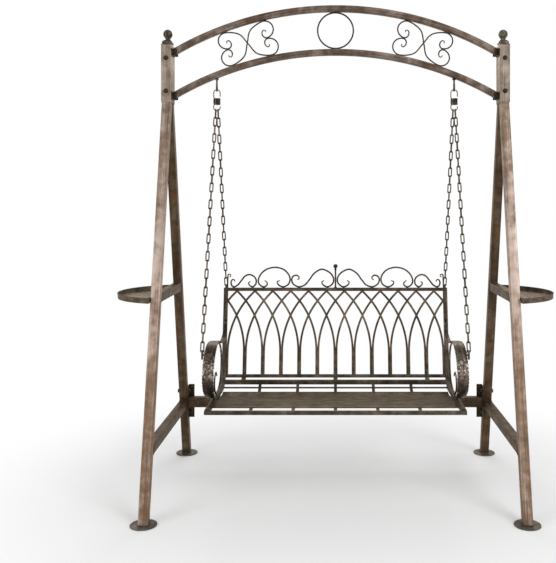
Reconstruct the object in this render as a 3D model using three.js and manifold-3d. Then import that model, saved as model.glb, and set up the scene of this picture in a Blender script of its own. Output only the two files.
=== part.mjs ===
// A wrought iron garden swing bench: a four-legged frame with two arched beams,
// two side trays, and a scrolled bench that hangs on springs and chains.
// Millimetres, +Z up, the bench faces -Y, the floor is at Z 0 under the middle of the frame.

import * as THREE from 'three';
import { mergeVertices } from 'three/addons/utils/BufferGeometryUtils.js';
import Module from 'manifold-3d';

const wasm = await Module();
wasm.setup();

// Clearances and welds
const gap = 0.3; // between pieces that touch
const overrun = 2; // how far a cutting tool passes the faces it cuts
const weld = 0.6; // how deep welded members of one piece run into each other
const tubeFit = 0.5; // a tube inside a larger tube, each side
const boltClearance = 0.5; // a bolt in its hole, all round

// Facet counts
const holeSides = 8;
const squareSides = 4;
const boltSides = 8;
const plateSides = 18;
const wireSides = 4;
const springSides = 5;
const finialSides = 10;
const ballSteps = 4;
const chainSides = 4;
const linkStations = 6;
const coilStations = 8;

// Side frames
const sideCentre = 770; // X of the middle of each side frame
const footSpread = 446; // Y of the middle of each foot
const legSection = 40;
const legWall = 2;
const legBendDrop = 14; // the legs turn upright this far below the post
const legBendRadius = 100;
const legBendSteps = 2;
const legEndInset = 14; // how far the legs stop below the top of the post
const footPlateDiameter = 108;
const footPlateThickness = 5;

// Posts that join the legs at the top: two square sleeves side by side, one for each leg
const postWall = 2;
const postRise = 28.2; // of the post's top above the end of the upper arch
const postDrop = 32.8; // of its bottom below the end of the lower arch
const postBoltInset = 60; // below the top of the post
const postBoltSpacing = 150;

// Post caps: a lid, a moulded collar on a plinth, and a ball finial
const capLidThickness = 4;
const capPlugDepth = 9;
const capPlinthWidth = 38;
const capPlinthHeight = 5;
const capCollarWidth = 47;
const capCollarEdge = 9; // upright part of the collar's rim
const capCollarSlope = 9; // height of the slope above it
const capNeckDiameter = 22;
const capNeckFlare = 32;
const capNeckLength = 7;
const capBallDiameter = 43;

// Bolts
const boltDiameter = 10;
const boltHeadDiameter = 19;
const boltHeadHeight = 7;

// Arched beams
const archSection = 28;
const archWall = 1.6;
const archRadius = 1476; // of the centre line
const archTop = 2200; // highest point of the upper arch
const archSpacing = 200; // from the upper arch down to the lower one
const archSteps = 16;
const socketPlateThickness = 3;
const socketPlateDepth = 60;
const socketHeight = 33;
const socketCheekLength = 18;
const socketCheekThickness = 3;

// Scrollwork between the arches
const scrollWire = 6.5;
const ringWire = 7.3;
const ringStations = 20;
const lobeShares = [ // from the inner end out: away from the crossing, towards the arch
	[0, -0.34], [0.01, -0.13], [-0.26, -0.06], [-0.46, -0.36], [-0.42, -0.74], [-0.15, -0.99],
	[0.22, -0.98], [0.7, -0.71], [0.98, -0.2], [0.93, 0.36], [0.6, 0.8], [0, 1],
];
const lobeLap = 1.2; // how deep the two lobes of a pair run into each other
const lobeRounds = 12;
const crossingSteps = 4;
const lobeBowShare = 0.52; // handle length of the crossing stretch over its span
const setUpperPlace = 413; // X of the middle of a scroll set on the upper arch
const setLowerPlace = 394; // and on the lower arch
const upperLobeSpacing = 177; // between the two lobes that touch the upper arch
const lowerLobeSpacing = 185; // and between those that touch the lower arch

// Rails, braces and trays
const railLevel = 886;
const braceLevel = 275;
const crossbarHeight = 50;
const crossbarDepth = 40;
const crossbarWall = 2;
const crossbarLevel = 284;
const angleThickness = 4;
const angleFlange = 28;
const angleBottom = 200;
const angleTop = 368;
const angleBoltLevels = [230, 343];
const angleBoltHead = 20;
const angleBoltHeight = 11;
const trayRadius = 295;
const trayInset = 75; // of the centre of the tray's arc from the middle of the side frame
const trayHeight = 24;
const traySheet = 2;
const traySteps = 14;

// Suspension
const hangerOutset = 9.5; // X of each eye bolt outside the middle of the bench's side bar
const eyeWire = 7;
const eyeRadius = 11;
const eyeStations = 8;
const eyeSides = 5;
const eyeDrop = 62.7; // middle of the eye below the middle of the lower arch
const eyeShankDiameter = 8;
const eyeNutDiameter = 16;
const eyeNutHeight = 7;
const springWire = 4.5;
const springDiameter = 34;
const springCurls = 6;
const springPitch = 5.2;
const springHookRise = 24; // straight part of the upper hook
const springHookDrop = 12; // straight part of the lower hook
const springHookOpening = 7;
const springHookSteps = 6;
const springBend = 4;
const chainWire = 5.5;
const linkWidth = 18.5;
const linkPitch = 38.6;
const chainSideStep = 5; // each chain's first link stands this far from the spring's middle

// Bench
const benchHalfWidth = 535.5; // X of the middle of each side bar
const barSection = 20;
const barWall = 2;
const barBendRadius = 97;
const barBendSteps = 5;
const seatBarLevel = 423.5;
const frontRailSection = 16;
const frontRailPlace = -338;
const frontRailDrop = 1.6; // below the side bars
const rearRailSection = 20;
const rearRailSetback = 36; // in front of the back's foot
const rearRailRise = 20; // above the side bars
const railWall = 1.5;

// Seat
const supportWidth = 14;
const supportThickness = 6;
const supportCount = 5;
const supportSteps = 10;
const slatWidth = 29;
const slatThickness = 4;
const slatCount = 10;
const slatRearInset = 69.5; // middle of the first slat from the rear rail, along the seat
const slatFrontInset = 63; // middle of the last slat from the front rail
const stripWidth = 8; // narrow strip behind the slats
const stripInset = 20; // its middle from the rear rail
const slatSeat = 1.2; // how deep slats and strip sit in the supports
const seatRise = 7.7; // above the side bars, of the level that the seat's dip is measured from
const seatDip = 29; // depth of the seat's hollow
const seatContourShares = [ // along from the rear rail to the front rail, down as a share of the dip
	[0, -0.1], [0.045, 0.5], [0.12, 0.87], [0.23, 1], [0.35, 0.97], [0.47, 0.77],
	[0.6, 0.47], [0.73, 0.23], [0.84, 0.2], [0.93, 0.36], [1, 0.5],
];

// Back
const backRailSection = 16;
const backFootPlace = 153.6; // Y of the middle of the bottom rail
const backFootRise = 41.3; // above the side bars
const backLean = 10.4 * Math.PI / 180;
const backHeight = 413.7; // between the middles of the two rails, along the back
const latticeBar = 10;
const latticeThickness = 5;
const latticeSplit = 117; // height of the straight pairs above the bottom rail
const latticeSteps = 5;
const latticeHalfBays = 6;
const latticeReachBays = 1.5; // sideways travel of a bar up to its peak, in bays
const stubWidth = 20;
const stubThickness = 8;
const stubBays = 5; // the outer stubs stand this many bays from the middle

// Crest
const crestWire = 8;
const crestSteps = 2; // between two points of a scroll
const crestHeights = [60, 95.5, 86]; // of the outer, middle and inner scroll
const crestSpanShares = [[0.9743, 0.7393], [0.7203, 0.4244]]; // ends of the outer and middle scroll
const crestClear = 1; // between the inner scroll and the finial's stem
const outerScrollShares = [
	[0, 0.62], [0.03, 0.26], [0.12, 0], [0.25, 0.12], [0.42, 0.55], [0.57, 0.9], [0.72, 1],
	[0.9, 0.85], [1, 0.5], [0.96, 0.16], [0.85, 0], [0.74, 0.12], [0.7, 0.34], [0.77, 0.43],
];
const middleScrollShares = [
	[0.2, 0.33], [0.28, 0.2], [0.26, 0.06], [0.16, 0], [0.04, 0.12], [0, 0.34], [0.1, 0.7], [0.3, 0.93],
	[0.54, 1], [0.78, 0.9], [0.95, 0.64], [1, 0.35], [0.93, 0.1], [0.78, 0], [0.64, 0.1], [0.6, 0.26],
	[0.68, 0.32],
];
const innerScrollShares = [
	[0.15, 0.47], [0.08, 0.64], [0, 0.42], [0.05, 0.13], [0.176, 0], [0.3, 0.09], [0.42, 0.4], [0.55, 0.8],
	[0.72, 1], [0.9, 0.82], [1, 0.455], [0.96, 0.14], [0.85, 0], [0.755, 0.1], [0.72, 0.27], [0.77, 0.36],
];
const crestStem = 8;
const crestStemHeight = 94.5;
const crestBall = 21.5;

// Arms
const armInset = 3.5; // of the middle of each arm from the middle of the side bar
const armSetback = 8.8; // of the arm's front behind the middle of the front rail
const armTailRise = 319.3; // of the tail's end on the upright above the side bars
const bandWidth = 49;
const bandThickness = 4;
const bandSteps = 2; // between two points of the band
const rodDiameter = 9;
const rodSteps = 2;
const tailRun = 41; // stretch of the tail that lies along the upright
const tailWidthShare = 0.26;
const bandShares = [ // along from the front to the upright, up from the side bar to the tail's end, width
	[0.954, 0.79, 0.36], [0.874, 0.71, 0.46], [0.762, 0.68, 0.52], [0.64, 0.705, 0.6], [0.491, 0.768, 0.78],
	[0.342, 0.81, 0.95], [0.211, 0.793, 1], [0.09, 0.69, 1], [0.018, 0.525, 1], [0, 0.365, 1],
	[0.04, 0.21, 0.95], [0.127, 0.105, 0.78], [0.248, 0.042, 0.5], [0.36, 0.004, 0.34], [0.49, 0, 0.24],
];
const rodTopShare = 0.57; // place where the rod starts under the band
const rodShares = [ // along as for the band, up from where the rod rests on the band's lower end
	[0.66, 0.631], [0.72, 0.471], [0.72, 0.291], [0.67, 0.121], [0.56, 0.021], [0.45, 0],
	[0.37, 0.056], [0.335, 0.161], [0.36, 0.271], [0.42, 0.321], [0.47, 0.25],
];
const lugWire = 6;
const lugSpan = 17;
const lugReach = 8; // how far the arm's chain lug stands out from the band
const lugDrop = 36; // of the lug's loop below its crown
const armLugSetback = 61.3; // of the chain's lug behind the middle of the front rail
const armLugRise = 244.3; // above the side bars
const lugSeat = 3; // depth of a lug's feet in what they stand on
const topLugRise = 15; // of the rear chain's lug above the end of the side bar
const barPlug = 3; // solid end of the side bar
const tipWire = 6.5;
const tipRise = 60; // straight part of the curled tip above the end of the side bar
const tipCurl = 7;
const tipSweep = 1.5 * Math.PI;
const tipSteps = 5;
const tipPlace = 6; // from the middle of the bar to the inner side
const tipSetback = 9; // and to the rear

// Derived places of the frame
const postWidth = legSection + 2 * (tubeFit + postWall);
const postDepth = 2 * postWidth;
const postInner = sideCentre - postWidth / 2;
const archEnd = postInner - gap - socketPlateThickness - gap;
const archReach = Math.asin(archEnd / archRadius); // half of the angle that an arch spans
const archFacetDrop = archRadius * (1 - Math.cos(archReach / archSteps)); // of a facet's middle below the bow
const upperArchCentre = archTop - archSection / 2 - archRadius; // Z of the upper arch's centre of curvature
const lowerArchCentre = upperArchCentre - archSpacing;
const archLevel = (centre, x, radius = archRadius) => centre + Math.sqrt(radius ** 2 - x ** 2);
const postTop = archLevel(upperArchCentre, archEnd) + postRise;
const postBottom = archLevel(lowerArchCentre, archEnd) - postDrop;
const postBoltLevels = [postTop - postBoltInset, postTop - postBoltInset - postBoltSpacing];
const stubOffset = postWidth / 2; // Y of the middle of each sleeve
const legBendLevel = postBottom - legBendDrop;
const legSlope = (footSpread - stubOffset) / legBendLevel;
const legLean = Math.atan(legSlope);
const legTop = postTop - legEndInset;
const trayCentre = sideCentre - trayInset;

// Derived places of the springs
const hangerPlace = benchHalfWidth + hangerOutset;
const eyeLevel = archLevel(lowerArchCentre, hangerPlace) - eyeDrop;
const springRadius = (springDiameter - springWire) / 2;
const hookLevel = eyeLevel - eyeRadius + eyeWire / 2 + gap + springWire / 2; // the bench swings about it
const coilTop = hookLevel - springRadius - springHookRise;
const coilBottom = coilTop - springCurls * springPitch;

// Derived places of the bench
const uprightInner = benchHalfWidth - barSection / 2;
const frontRailBack = frontRailPlace + frontRailSection / 2;
const frontRailLevel = seatBarLevel - frontRailDrop;
const rearRailPlace = backFootPlace - rearRailSetback;
const rearRailLevel = seatBarLevel + rearRailRise;
const seatLevel = seatBarLevel + seatRise;
const backFootLevel = seatBarLevel + backFootRise;
const backUp = new THREE.Vector3(0, Math.sin(backLean), Math.cos(backLean));
const backFront = new THREE.Vector3(0, -Math.cos(backLean), Math.sin(backLean));
const backCorner = backFootPlace - backFootRise * Math.tan(backLean);
const armPlace = benchHalfWidth - armInset;
const armFront = frontRailPlace + armSetback;
const armFoot = seatBarLevel + barSection / 2 + gap + bandThickness / 2;
const armTail = seatBarLevel + armTailRise;
const armLugPlace = frontRailPlace + armLugSetback;
const armLugLevel = seatBarLevel + armLugRise;

const axisX = new THREE.Vector3(1, 0, 0);
const axisY = new THREE.Vector3(0, 1, 0);
const axisZ = new THREE.Vector3(0, 0, 1);
const sides = [['left', -1], ['right', 1]];
const ends = [['front', -1], ['rear', 1]];

// Materials
function paint(colour, roughness, metalness) {
	return () => new THREE.MeshStandardMaterial({ color: colour, roughness, metalness });
}
const framePaint = paint('#a8876f', 0.5, 0.55);
const archPaint = paint('#8f7763', 0.5, 0.55);
const darkIron = paint('#3b352e', 0.6, 0.5);
const platePaint = paint('#4c4d45', 0.65, 0.4);
const chainMetal = paint('#6a6659', 0.45, 0.75);
const benchPaint = paint('#6b5c49', 0.5, 0.5);
const seatPaint = paint('#7a6a50', 0.5, 0.45);
const armPaint = paint('#8a7666', 0.45, 0.6);

// A path that a section follows exactly: its section stands square to the path at
// every point and is mitred there, with `sideways` as the section's first axis.
class Run extends THREE.Curve {

	constructor(points, sideways, { startFace, endFace, widths } = {}) {
		super();
		this.points = points;
		this.sideways = sideways;
		this.startFace = startFace;
		this.endFace = endFace;
		this.widths = widths;
	}

	getPoint(t, target = new THREE.Vector3()) {
		const place = t * (this.points.length - 1);
		const first = Math.min(Math.floor(place), this.points.length - 2);
		return target.lerpVectors(this.points[first], this.points[first + 1], place - first);
	}

	getSpacedPoints() {
		return this.points.map((point) => point.clone());
	}

	computeFrenetFrames() {
		const last = this.points.length - 1;
		const legs = this.points.slice(1)
			.map((point, i) => point.clone().sub(this.points[i]).normalize());
		const tangents = [];
		const normals = [];
		const binormals = [];
		this.points.forEach((_, i) => {
			const before = legs[Math.max(i - 1, 0)];
			const after = legs[Math.min(i, last - 1)];
			const face = before.clone().add(after).normalize();
			if (i === 0 && this.startFace) face.copy(this.startFace);
			if (i === last && this.endFace) face.copy(this.endFace);
			const side = (Array.isArray(this.sideways) ? this.sideways[i] : this.sideways).clone();
			side.addScaledVector(face, -side.dot(face)).normalize();
			const rise = face.clone().cross(side);
			const square = before.clone().cross(side).normalize();
			rise.divideScalar(rise.dot(square));
			tangents.push(face);
			normals.push(side.multiplyScalar(this.widths ? this.widths[i] : 1));
			binormals.push(rise);
		});
		return { tangents, normals, binormals };
	}

}

// Sections
function rectangle(width, height) {
	const shape = new THREE.Shape();
	shape.moveTo(-width / 2, -height / 2);
	shape.lineTo(width / 2, -height / 2);
	shape.lineTo(width / 2, height / 2);
	shape.lineTo(-width / 2, height / 2);
	shape.closePath();
	return shape;
}

function boxTube(width, height, wall) {
	const shape = rectangle(width, height);
	shape.holes.push(rectangle(width - 2 * wall, height - 2 * wall));
	return shape;
}

function polygon(diameter, count) {
	const turn = 2 * Math.PI / count;
	const corners = Array.from({ length: count }, (_, i) => new THREE.Vector2(
		diameter / 2 * Math.cos(i * turn), diameter / 2 * Math.sin(i * turn)));
	return new THREE.Shape(corners);
}

function outline(corners) {
	return new THREE.Shape(corners.map(([x, y]) => new THREE.Vector2(x, y)));
}

// Solids
function sweep(section, path) {
	return new THREE.ExtrudeGeometry(section, { steps: path.points.length - 1, extrudePath: path });
}

function extrude(section, depth) {
	return new THREE.ExtrudeGeometry(section, { depth, bevelEnabled: false });
}

function cylinder(diameter, length, count = holeSides) {
	return new THREE.CylinderGeometry(diameter / 2, diameter / 2, length, count);
}

function turned(profile, count) {
	const points = profile.map(([radius, height]) => new THREE.Vector2(radius, height));
	return new THREE.LatheGeometry(points, count);
}

function closedMesh(geometry) {
	const bare = geometry.clone();
	bare.deleteAttribute('normal');
	bare.deleteAttribute('uv');
	const merged = mergeVertices(bare);
	const index = Array.from(merged.index.array);
	const kept = [];
	for (let i = 0; i < index.length; i += 3) {
		const [a, b, c] = index.slice(i, i + 3);
		if (a !== b && b !== c && c !== a) kept.push(a, b, c);
	}
	merged.setIndex(kept);
	return merged;
}

function toSolid(geometry) {
	const merged = closedMesh(geometry);
	return new wasm.Manifold(new wasm.Mesh({
		numProp: 3,
		vertProperties: new Float32Array(merged.attributes.position.array),
		triVerts: new Uint32Array(merged.index.array),
	}));
}

function fromSolid(solid) {
	const mesh = solid.getMesh();
	const geometry = new THREE.BufferGeometry();
	geometry.setAttribute('position', new THREE.BufferAttribute(mesh.vertProperties, 3));
	geometry.setIndex(new THREE.BufferAttribute(mesh.triVerts, 1));
	geometry.computeVertexNormals();
	return geometry;
}

function join(geometries) {
	return fromSolid(geometries.map(toSolid).reduce((whole, piece) => whole.add(piece)));
}

function cut(geometry, tools) {
	return fromSolid(tools.map(toSolid).reduce((rest, tool) => rest.subtract(tool), toSolid(geometry)));
}

const model = new THREE.Group();
const frame = new THREE.Group();
const bench = new THREE.Group();
model.add(frame, bench);

function add(parent, name, geometry, material, place = [0, 0, 0]) {
	const tidy = closedMesh(geometry);
	tidy.computeVertexNormals();
	const mesh = new THREE.Mesh(tidy, material());
	mesh.name = name;
	mesh.position.set(...place);
	parent.add(mesh);
}

// Points in the upright plane across the bench, and in the plane of a side
const acrossPoint = (x, z, y = 0) => new THREE.Vector3(x, y, z);
const sidePoint = (y, z, x = 0) => new THREE.Vector3(x, y, z);

// Points on an arc about (u, v), from one angle to another
function arcPoints(u, v, radius, from, to, steps) {
	return Array.from({ length: steps + 1 }, (_, i) => {
		const angle = from + (to - from) * i / steps;
		return [u + radius * Math.cos(angle), v + radius * Math.sin(angle)];
	});
}

// A smooth row of points through the given ones, with as many steps from each to the next
function smooth(points, steps) {
	return new THREE.CatmullRomCurve3(points, false, 'centripetal').getPoints(steps * (points.length - 1));
}

// Legs: square tubes that lean together and turn upright into the post
const legAxis = (level) => footSpread - legSlope * level;

function legGeometry(end) {
	const turnLength = legBendRadius * Math.tan(legLean / 2);
	const bend = arcPoints(stubOffset + legBendRadius, legBendLevel + turnLength, legBendRadius,
		Math.PI + legLean, Math.PI, legBendSteps);
	const foot = footPlateThickness + gap;
	const points = [[legAxis(foot), foot], ...bend, [stubOffset, legTop]]
		.map(([y, z]) => sidePoint(end * y, z));
	const path = new Run(points, axisX, { startFace: axisZ });
	const holes = postBoltLevels.map((level) => cylinder(boltDiameter + 2 * boltClearance, postDepth)
		.translate(0, end * stubOffset, level));
	return cut(sweep(boxTube(legSection, legSection, legWall), path), holes);
}

function postGeometry() {
	const height = postTop - postBottom;
	const bore = postWidth - 2 * postWall;
	const block = extrude(rectangle(postWidth, postDepth), height).translate(0, 0, postBottom);
	const bores = ends.map(([, direction]) => extrude(rectangle(bore, bore), height + 2 * overrun)
		.translate(0, direction * stubOffset, postBottom - overrun));
	const holes = postBoltLevels.map((level) => cylinder(boltDiameter + 2 * boltClearance,
		postDepth + 2 * overrun).translate(0, 0, level));
	return cut(block, [...bores, ...holes]);
}

function capGeometry() {
	const lid = extrude(rectangle(postWidth, postDepth), capLidThickness);
	const plugs = ends.map(([, direction]) => extrude(rectangle(legSection, legSection), capPlugDepth + weld)
		.translate(0, direction * stubOffset, -capPlugDepth));
	const foot = capLidThickness - weld;
	const rim = capLidThickness + capPlinthHeight;
	const slope = rim + capCollarEdge;
	const crown = slope + capCollarSlope;
	const steps = [[0, foot], [capPlinthWidth, foot], [capPlinthWidth, rim], [capCollarWidth, rim],
		[capCollarWidth, slope], [capNeckFlare, crown], [0, crown]];
	const collar = turned(steps.map(([width, level]) => [width * Math.SQRT1_2, level]), squareSides)
		.rotateX(Math.PI / 2).rotateZ(Math.PI / 4);
	const ballCentre = crown + capNeckLength + capBallDiameter / 2;
	const neckAngle = Math.asin(capNeckDiameter / capBallDiameter);
	const ball = arcPoints(0, ballCentre, capBallDiameter / 2,
		neckAngle - Math.PI / 2, Math.PI / 2, ballSteps);
	const profile = [[0, crown - weld], [capNeckDiameter / 2, crown - weld],
		...ball.slice(0, -1), [0, ballCentre + capBallDiameter / 2]];
	const finial = turned(profile, finialSides).rotateX(Math.PI / 2);
	return join([lid, ...plugs, collar, finial]);
}

// A bolt along Y: its head in front, its nut behind
function boltGeometry(grip) {
	const seat = grip / 2 + gap;
	const profile = [[0, -seat - boltHeadHeight], [boltHeadDiameter / 2, -seat - boltHeadHeight],
		[boltHeadDiameter / 2, -seat], [boltDiameter / 2, -seat], [boltDiameter / 2, seat],
		[boltHeadDiameter / 2, seat], [boltHeadDiameter / 2, seat + boltHeadHeight],
		[0, seat + boltHeadHeight]];
	return turned(profile, boltSides);
}

// A level member between the front and rear legs of one side, its ends cut to their slope
function tieGeometry(level) {
	const reach = legAxis(level) - (legSection / 2 + gap) / Math.cos(legLean);
	const rearFace = new THREE.Vector3(0, Math.cos(legLean), Math.sin(legLean));
	const frontFace = new THREE.Vector3(0, Math.cos(legLean), -Math.sin(legLean));
	const path = new Run([sidePoint(-reach, level), sidePoint(reach, level)], axisX,
		{ startFace: frontFace, endFace: rearFace });
	return sweep(boxTube(legSection, legSection, legWall), path);
}

// Trays: shallow pans that follow a circle outside and the side frame inside
function trayShape(inset) {
	const chord = sideCentre + legSection / 2 + gap + inset;
	const radius = trayRadius - inset;
	const reach = Math.acos((chord - trayCentre) / radius);
	return outline(arcPoints(trayCentre - sideCentre, 0, radius, -reach, reach, traySteps));
}

function trayGeometry() {
	const level = railLevel - legSection / 2;
	const block = extrude(trayShape(0), trayHeight).translate(0, 0, level);
	const hollow = extrude(trayShape(traySheet), trayHeight).translate(0, 0, level + traySheet);
	return cut(block, [hollow]);
}

for (const [side, sign] of sides) {
	const group = new THREE.Group();
	group.position.x = sign * sideCentre;
	frame.add(group);
	for (const [end, direction] of ends) {
		const plate = cylinder(footPlateDiameter, footPlateThickness, plateSides).rotateX(Math.PI / 2);
		add(group, `foot_plate_${end}_${side}`, plate, platePaint,
			[0, direction * footSpread, footPlateThickness / 2]);
		add(group, `leg_${end}_${side}`, legGeometry(direction), framePaint);
	}
	add(group, `post_${side}`, postGeometry(), framePaint);
	add(group, `post_cap_${side}`, capGeometry(), platePaint, [0, 0, postTop + gap]);
	postBoltLevels.forEach((level, i) => {
		const row = i ? 'lower' : 'upper';
		add(group, `post_bolt_${row}_${side}`, boltGeometry(postDepth), darkIron, [0, 0, level]);
	});
	add(group, `tray_rail_${side}`, tieGeometry(railLevel), framePaint);
	add(group, `side_brace_${side}`, tieGeometry(braceLevel), framePaint);
	const tray = new THREE.Group();
	tray.rotation.z = sign > 0 ? 0 : Math.PI;
	group.add(tray);
	add(tray, `tray_${side}`, trayGeometry(), archPaint);
}

// Rear crossbar between the rear legs, and the angle brackets that hold its ends
const crossbarPlace = legAxis(crossbarLevel);
const angleInner = sideCentre - legSection / 2 - gap; // the bracket's face on the leg

function crossbarGeometry() {
	const reach = angleInner - angleThickness - gap;
	const path = new Run([acrossPoint(-reach, crossbarLevel, crossbarPlace),
		acrossPoint(reach, crossbarLevel, crossbarPlace)], axisY);
	return sweep(boxTube(crossbarDepth, crossbarHeight, crossbarWall), path);
}

function angleGeometry(sign) {
	const back = crossbarPlace + crossbarDepth / 2 + gap;
	const front = legAxis(angleTop) - legSection / 2;
	const inner = angleInner - angleThickness;
	const section = outline([[angleInner, front], [angleInner, back + angleThickness],
		[angleInner - angleFlange, back + angleThickness], [angleInner - angleFlange, back],
		[inner, back], [inner, front]].map(([x, y]) => [sign * x, y]));
	const angle = extrude(section, angleTop - angleBottom).translate(0, 0, angleBottom);
	const heads = angleBoltLevels.map((level) => cylinder(angleBoltHead, angleBoltHeight).rotateZ(Math.PI / 2)
		.translate(sign * (inner + weld - angleBoltHeight / 2), legAxis(level), level));
	return join([angle, ...heads]);
}

add(frame, 'rear_crossbar', crossbarGeometry(), framePaint);
for (const [side, sign] of sides) add(frame, `crossbar_bracket_${side}`, angleGeometry(sign), darkIron);

// Arched beams: two equal bows, one above the other, between the two posts
function archGeometry(centre) {
	const points = arcPoints(0, centre, archRadius,
		Math.PI / 2 + archReach, Math.PI / 2 - archReach, archSteps).map(([x, z]) => acrossPoint(x, z));
	const path = new Run(points, axisY, { startFace: axisX, endFace: axisX });
	return sweep(boxTube(archSection, archSection, archWall), path);
}

function eyeHole(sign) {
	const level = archLevel(lowerArchCentre, hangerPlace);
	return cylinder(eyeShankDiameter + 2 * boltClearance, archSection).rotateX(Math.PI / 2)
		.translate(sign * hangerPlace, 0, level - archSection / 2);
}

add(frame, 'upper_arch', archGeometry(upperArchCentre), archPaint);
add(frame, 'lower_arch', cut(archGeometry(lowerArchCentre), [eyeHole(-1), eyeHole(1)]), archPaint);

// Sockets: a plate on the post's inner face with two cheeks that clasp the arch's end
function socketGeometry(sign) {
	const face = postInner - gap;
	const plate = face - socketPlateThickness;
	const tip = plate - socketCheekLength;
	const inner = archSection / 2 + gap;
	const outer = inner + socketCheekThickness;
	const half = socketPlateDepth / 2;
	const section = outline([[face, -half], [face, half], [plate, half], [plate, outer], [tip, outer],
		[tip, inner], [plate, inner], [plate, -inner], [tip, -inner], [tip, -outer], [plate, -outer],
		[plate, -half]].map(([x, y]) => [sign * x, y]));
	return extrude(section, socketHeight).translate(0, 0, -socketHeight / 2);
}

for (const [side, sign] of sides) {
	[['upper', upperArchCentre], ['lower', lowerArchCentre]].forEach(([row, centre]) => {
		const place = [0, 0, archLevel(centre, archEnd)];
		add(frame, `${row}_arch_socket_${side}`, socketGeometry(sign), darkIron, place);
	});
}

// Ring in the middle, touching both arches
const ringSpan = archSpacing - archSection - 2 * gap;
const ring = new THREE.TorusGeometry((ringSpan - ringWire) / 2, ringWire / 2, wireSides, ringStations)
	.rotateX(Math.PI / 2);
add(frame, 'centre_ring', ring, benchPaint, [0, 0, archTop - (archSection + archSpacing) / 2]);

// Scroll sets: two crossing S scrolls whose four lobes touch the arches and, in pairs, each other
function lobeCentre(upper, x, radius) {
	const reach = archSection / 2 + gap + scrollWire / 2 + radius;
	const bow = archRadius + (upper ? -reach - archFacetDrop : reach);
	return new THREE.Vector2(x, archLevel(upper ? upperArchCentre : lowerArchCentre, x, bow));
}

// The radius at which a lobe under the upper arch meets its neighbour on the lower one
function lobePair(upperX, lowerX) {
	let radius = archSpacing / 6;
	for (let i = 0; i < lobeRounds; i += 1) {
		const apart = lobeCentre(true, upperX, radius).distanceTo(lobeCentre(false, lowerX, radius));
		radius += (apart + lobeLap - scrollWire - 2 * radius) / 4;
	}
	return [lobeCentre(true, upperX, radius), lobeCentre(false, lowerX, radius)]
		.map((centre) => ({ centre, radius }));
}

// From the inner end of a lobe out to where it leaves for the crossing
function lobePoints({ centre, radius }, leaving, turning) {
	const towards = new THREE.Vector2(Math.cos(leaving), Math.sin(leaving));
	const away = new THREE.Vector2(-turning * towards.y, turning * towards.x);
	return lobeShares.map(([out, up]) => centre.clone()
		.addScaledVector(away, radius * out)
		.addScaledVector(towards, radius * up));
}

function crossingScroll(start, end, startLeaving, endLeaving, turning) {
	const first = lobePoints(start, startLeaving, turning);
	const second = lobePoints(end, endLeaving, turning);
	const from = first[first.length - 1];
	const to = second[second.length - 1];
	const handle = lobeBowShare * from.distanceTo(to);
	const heading = (angle) => new THREE.Vector2(turning * Math.sin(angle), -turning * Math.cos(angle));
	const middle = new THREE.CubicBezierCurve(from,
		from.clone().addScaledVector(heading(startLeaving), handle),
		to.clone().addScaledVector(heading(endLeaving), handle), to);
	return [...first, ...middle.getPoints(crossingSteps).slice(1, -1), ...second.reverse()];
}

function scrollSetGeometry(sign) {
	const [upperOuter, lowerOuter] = lobePair(-setUpperPlace - upperLobeSpacing / 2,
		-setLowerPlace - lowerLobeSpacing / 2);
	const [upperInner, lowerInner] = lobePair(-setUpperPlace + upperLobeSpacing / 2,
		-setLowerPlace + lowerLobeSpacing / 2);
	const up = Math.PI / 2;
	const tilt = Math.asin(setUpperPlace / archRadius);
	const falling = crossingScroll(upperOuter, lowerInner, up + tilt, tilt - up, 1);
	const rising = crossingScroll(lowerOuter, upperInner, tilt - up, up + tilt, -1);
	return join([falling, rising].map((points) => sweep(polygon(scrollWire, wireSides),
		new Run(points.map(({ x, y }) => acrossPoint(-sign * x, y)), axisY))));
}

for (const [side, sign] of sides) {
	add(frame, `arch_scrolls_${side}`, scrollSetGeometry(sign), benchPaint);
}

// Eye bolts in the lower arch: ring below, shank through the lower wall, nut inside the tube
function eyeBoltGeometry() {
	const level = archLevel(lowerArchCentre, hangerPlace);
	const slope = Math.asin(hangerPlace / archRadius);
	const wallTop = level - (archSection / 2 - archWall) / Math.cos(slope);
	const crown = wallTop + eyeNutDiameter / 2 * Math.tan(slope) + gap;
	const root = eyeLevel + eyeRadius;
	const profile = [[0, root], [eyeShankDiameter / 2, root], [eyeShankDiameter / 2, crown],
		[eyeNutDiameter / 2, crown], [eyeNutDiameter / 2, crown + eyeNutHeight], [0, crown + eyeNutHeight]];
	const shank = turned(profile, boltSides).rotateX(Math.PI / 2);
	const eye = new THREE.TorusGeometry(eyeRadius, eyeWire / 2, eyeSides, eyeStations)
		.rotateY(Math.PI / 2).translate(0, 0, eyeLevel);
	return join([shank, eye]);
}

for (const [side, sign] of sides) {
	add(frame, `eye_bolt_${side}`, eyeBoltGeometry(), chainMetal, [sign * hangerPlace, 0, 0]);
}

// Springs: one unbroken wire from the upper hook through the coil to the lower hook
function springPoints() {
	const halfTurn = arcPoints(0, 0, springRadius, 0, Math.PI, springHookSteps);
	const upper = halfTurn.map(([x, z]) => acrossPoint(x, hookLevel - springRadius + z));
	upper.unshift(acrossPoint(springRadius, coilTop + springHookOpening));
	const lower = halfTurn.map(([x, z]) => acrossPoint(x, coilBottom - springHookDrop - z)).reverse();
	lower.push(acrossPoint(springRadius, coilBottom - springHookOpening));
	const stations = springCurls * coilStations;
	const coil = Array.from({ length: stations + 1 }, (_, i) => {
		const angle = Math.PI + 2 * Math.PI * i / coilStations;
		const level = coilTop - springPitch * i / coilStations;
		return acrossPoint(springRadius * Math.cos(angle), level, -springRadius * Math.sin(angle));
	});
	return [...upper, acrossPoint(-springRadius, coilTop + springBend), ...coil.slice(1, -1),
		acrossPoint(-springRadius, coilBottom - springBend), ...lower];
}

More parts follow.
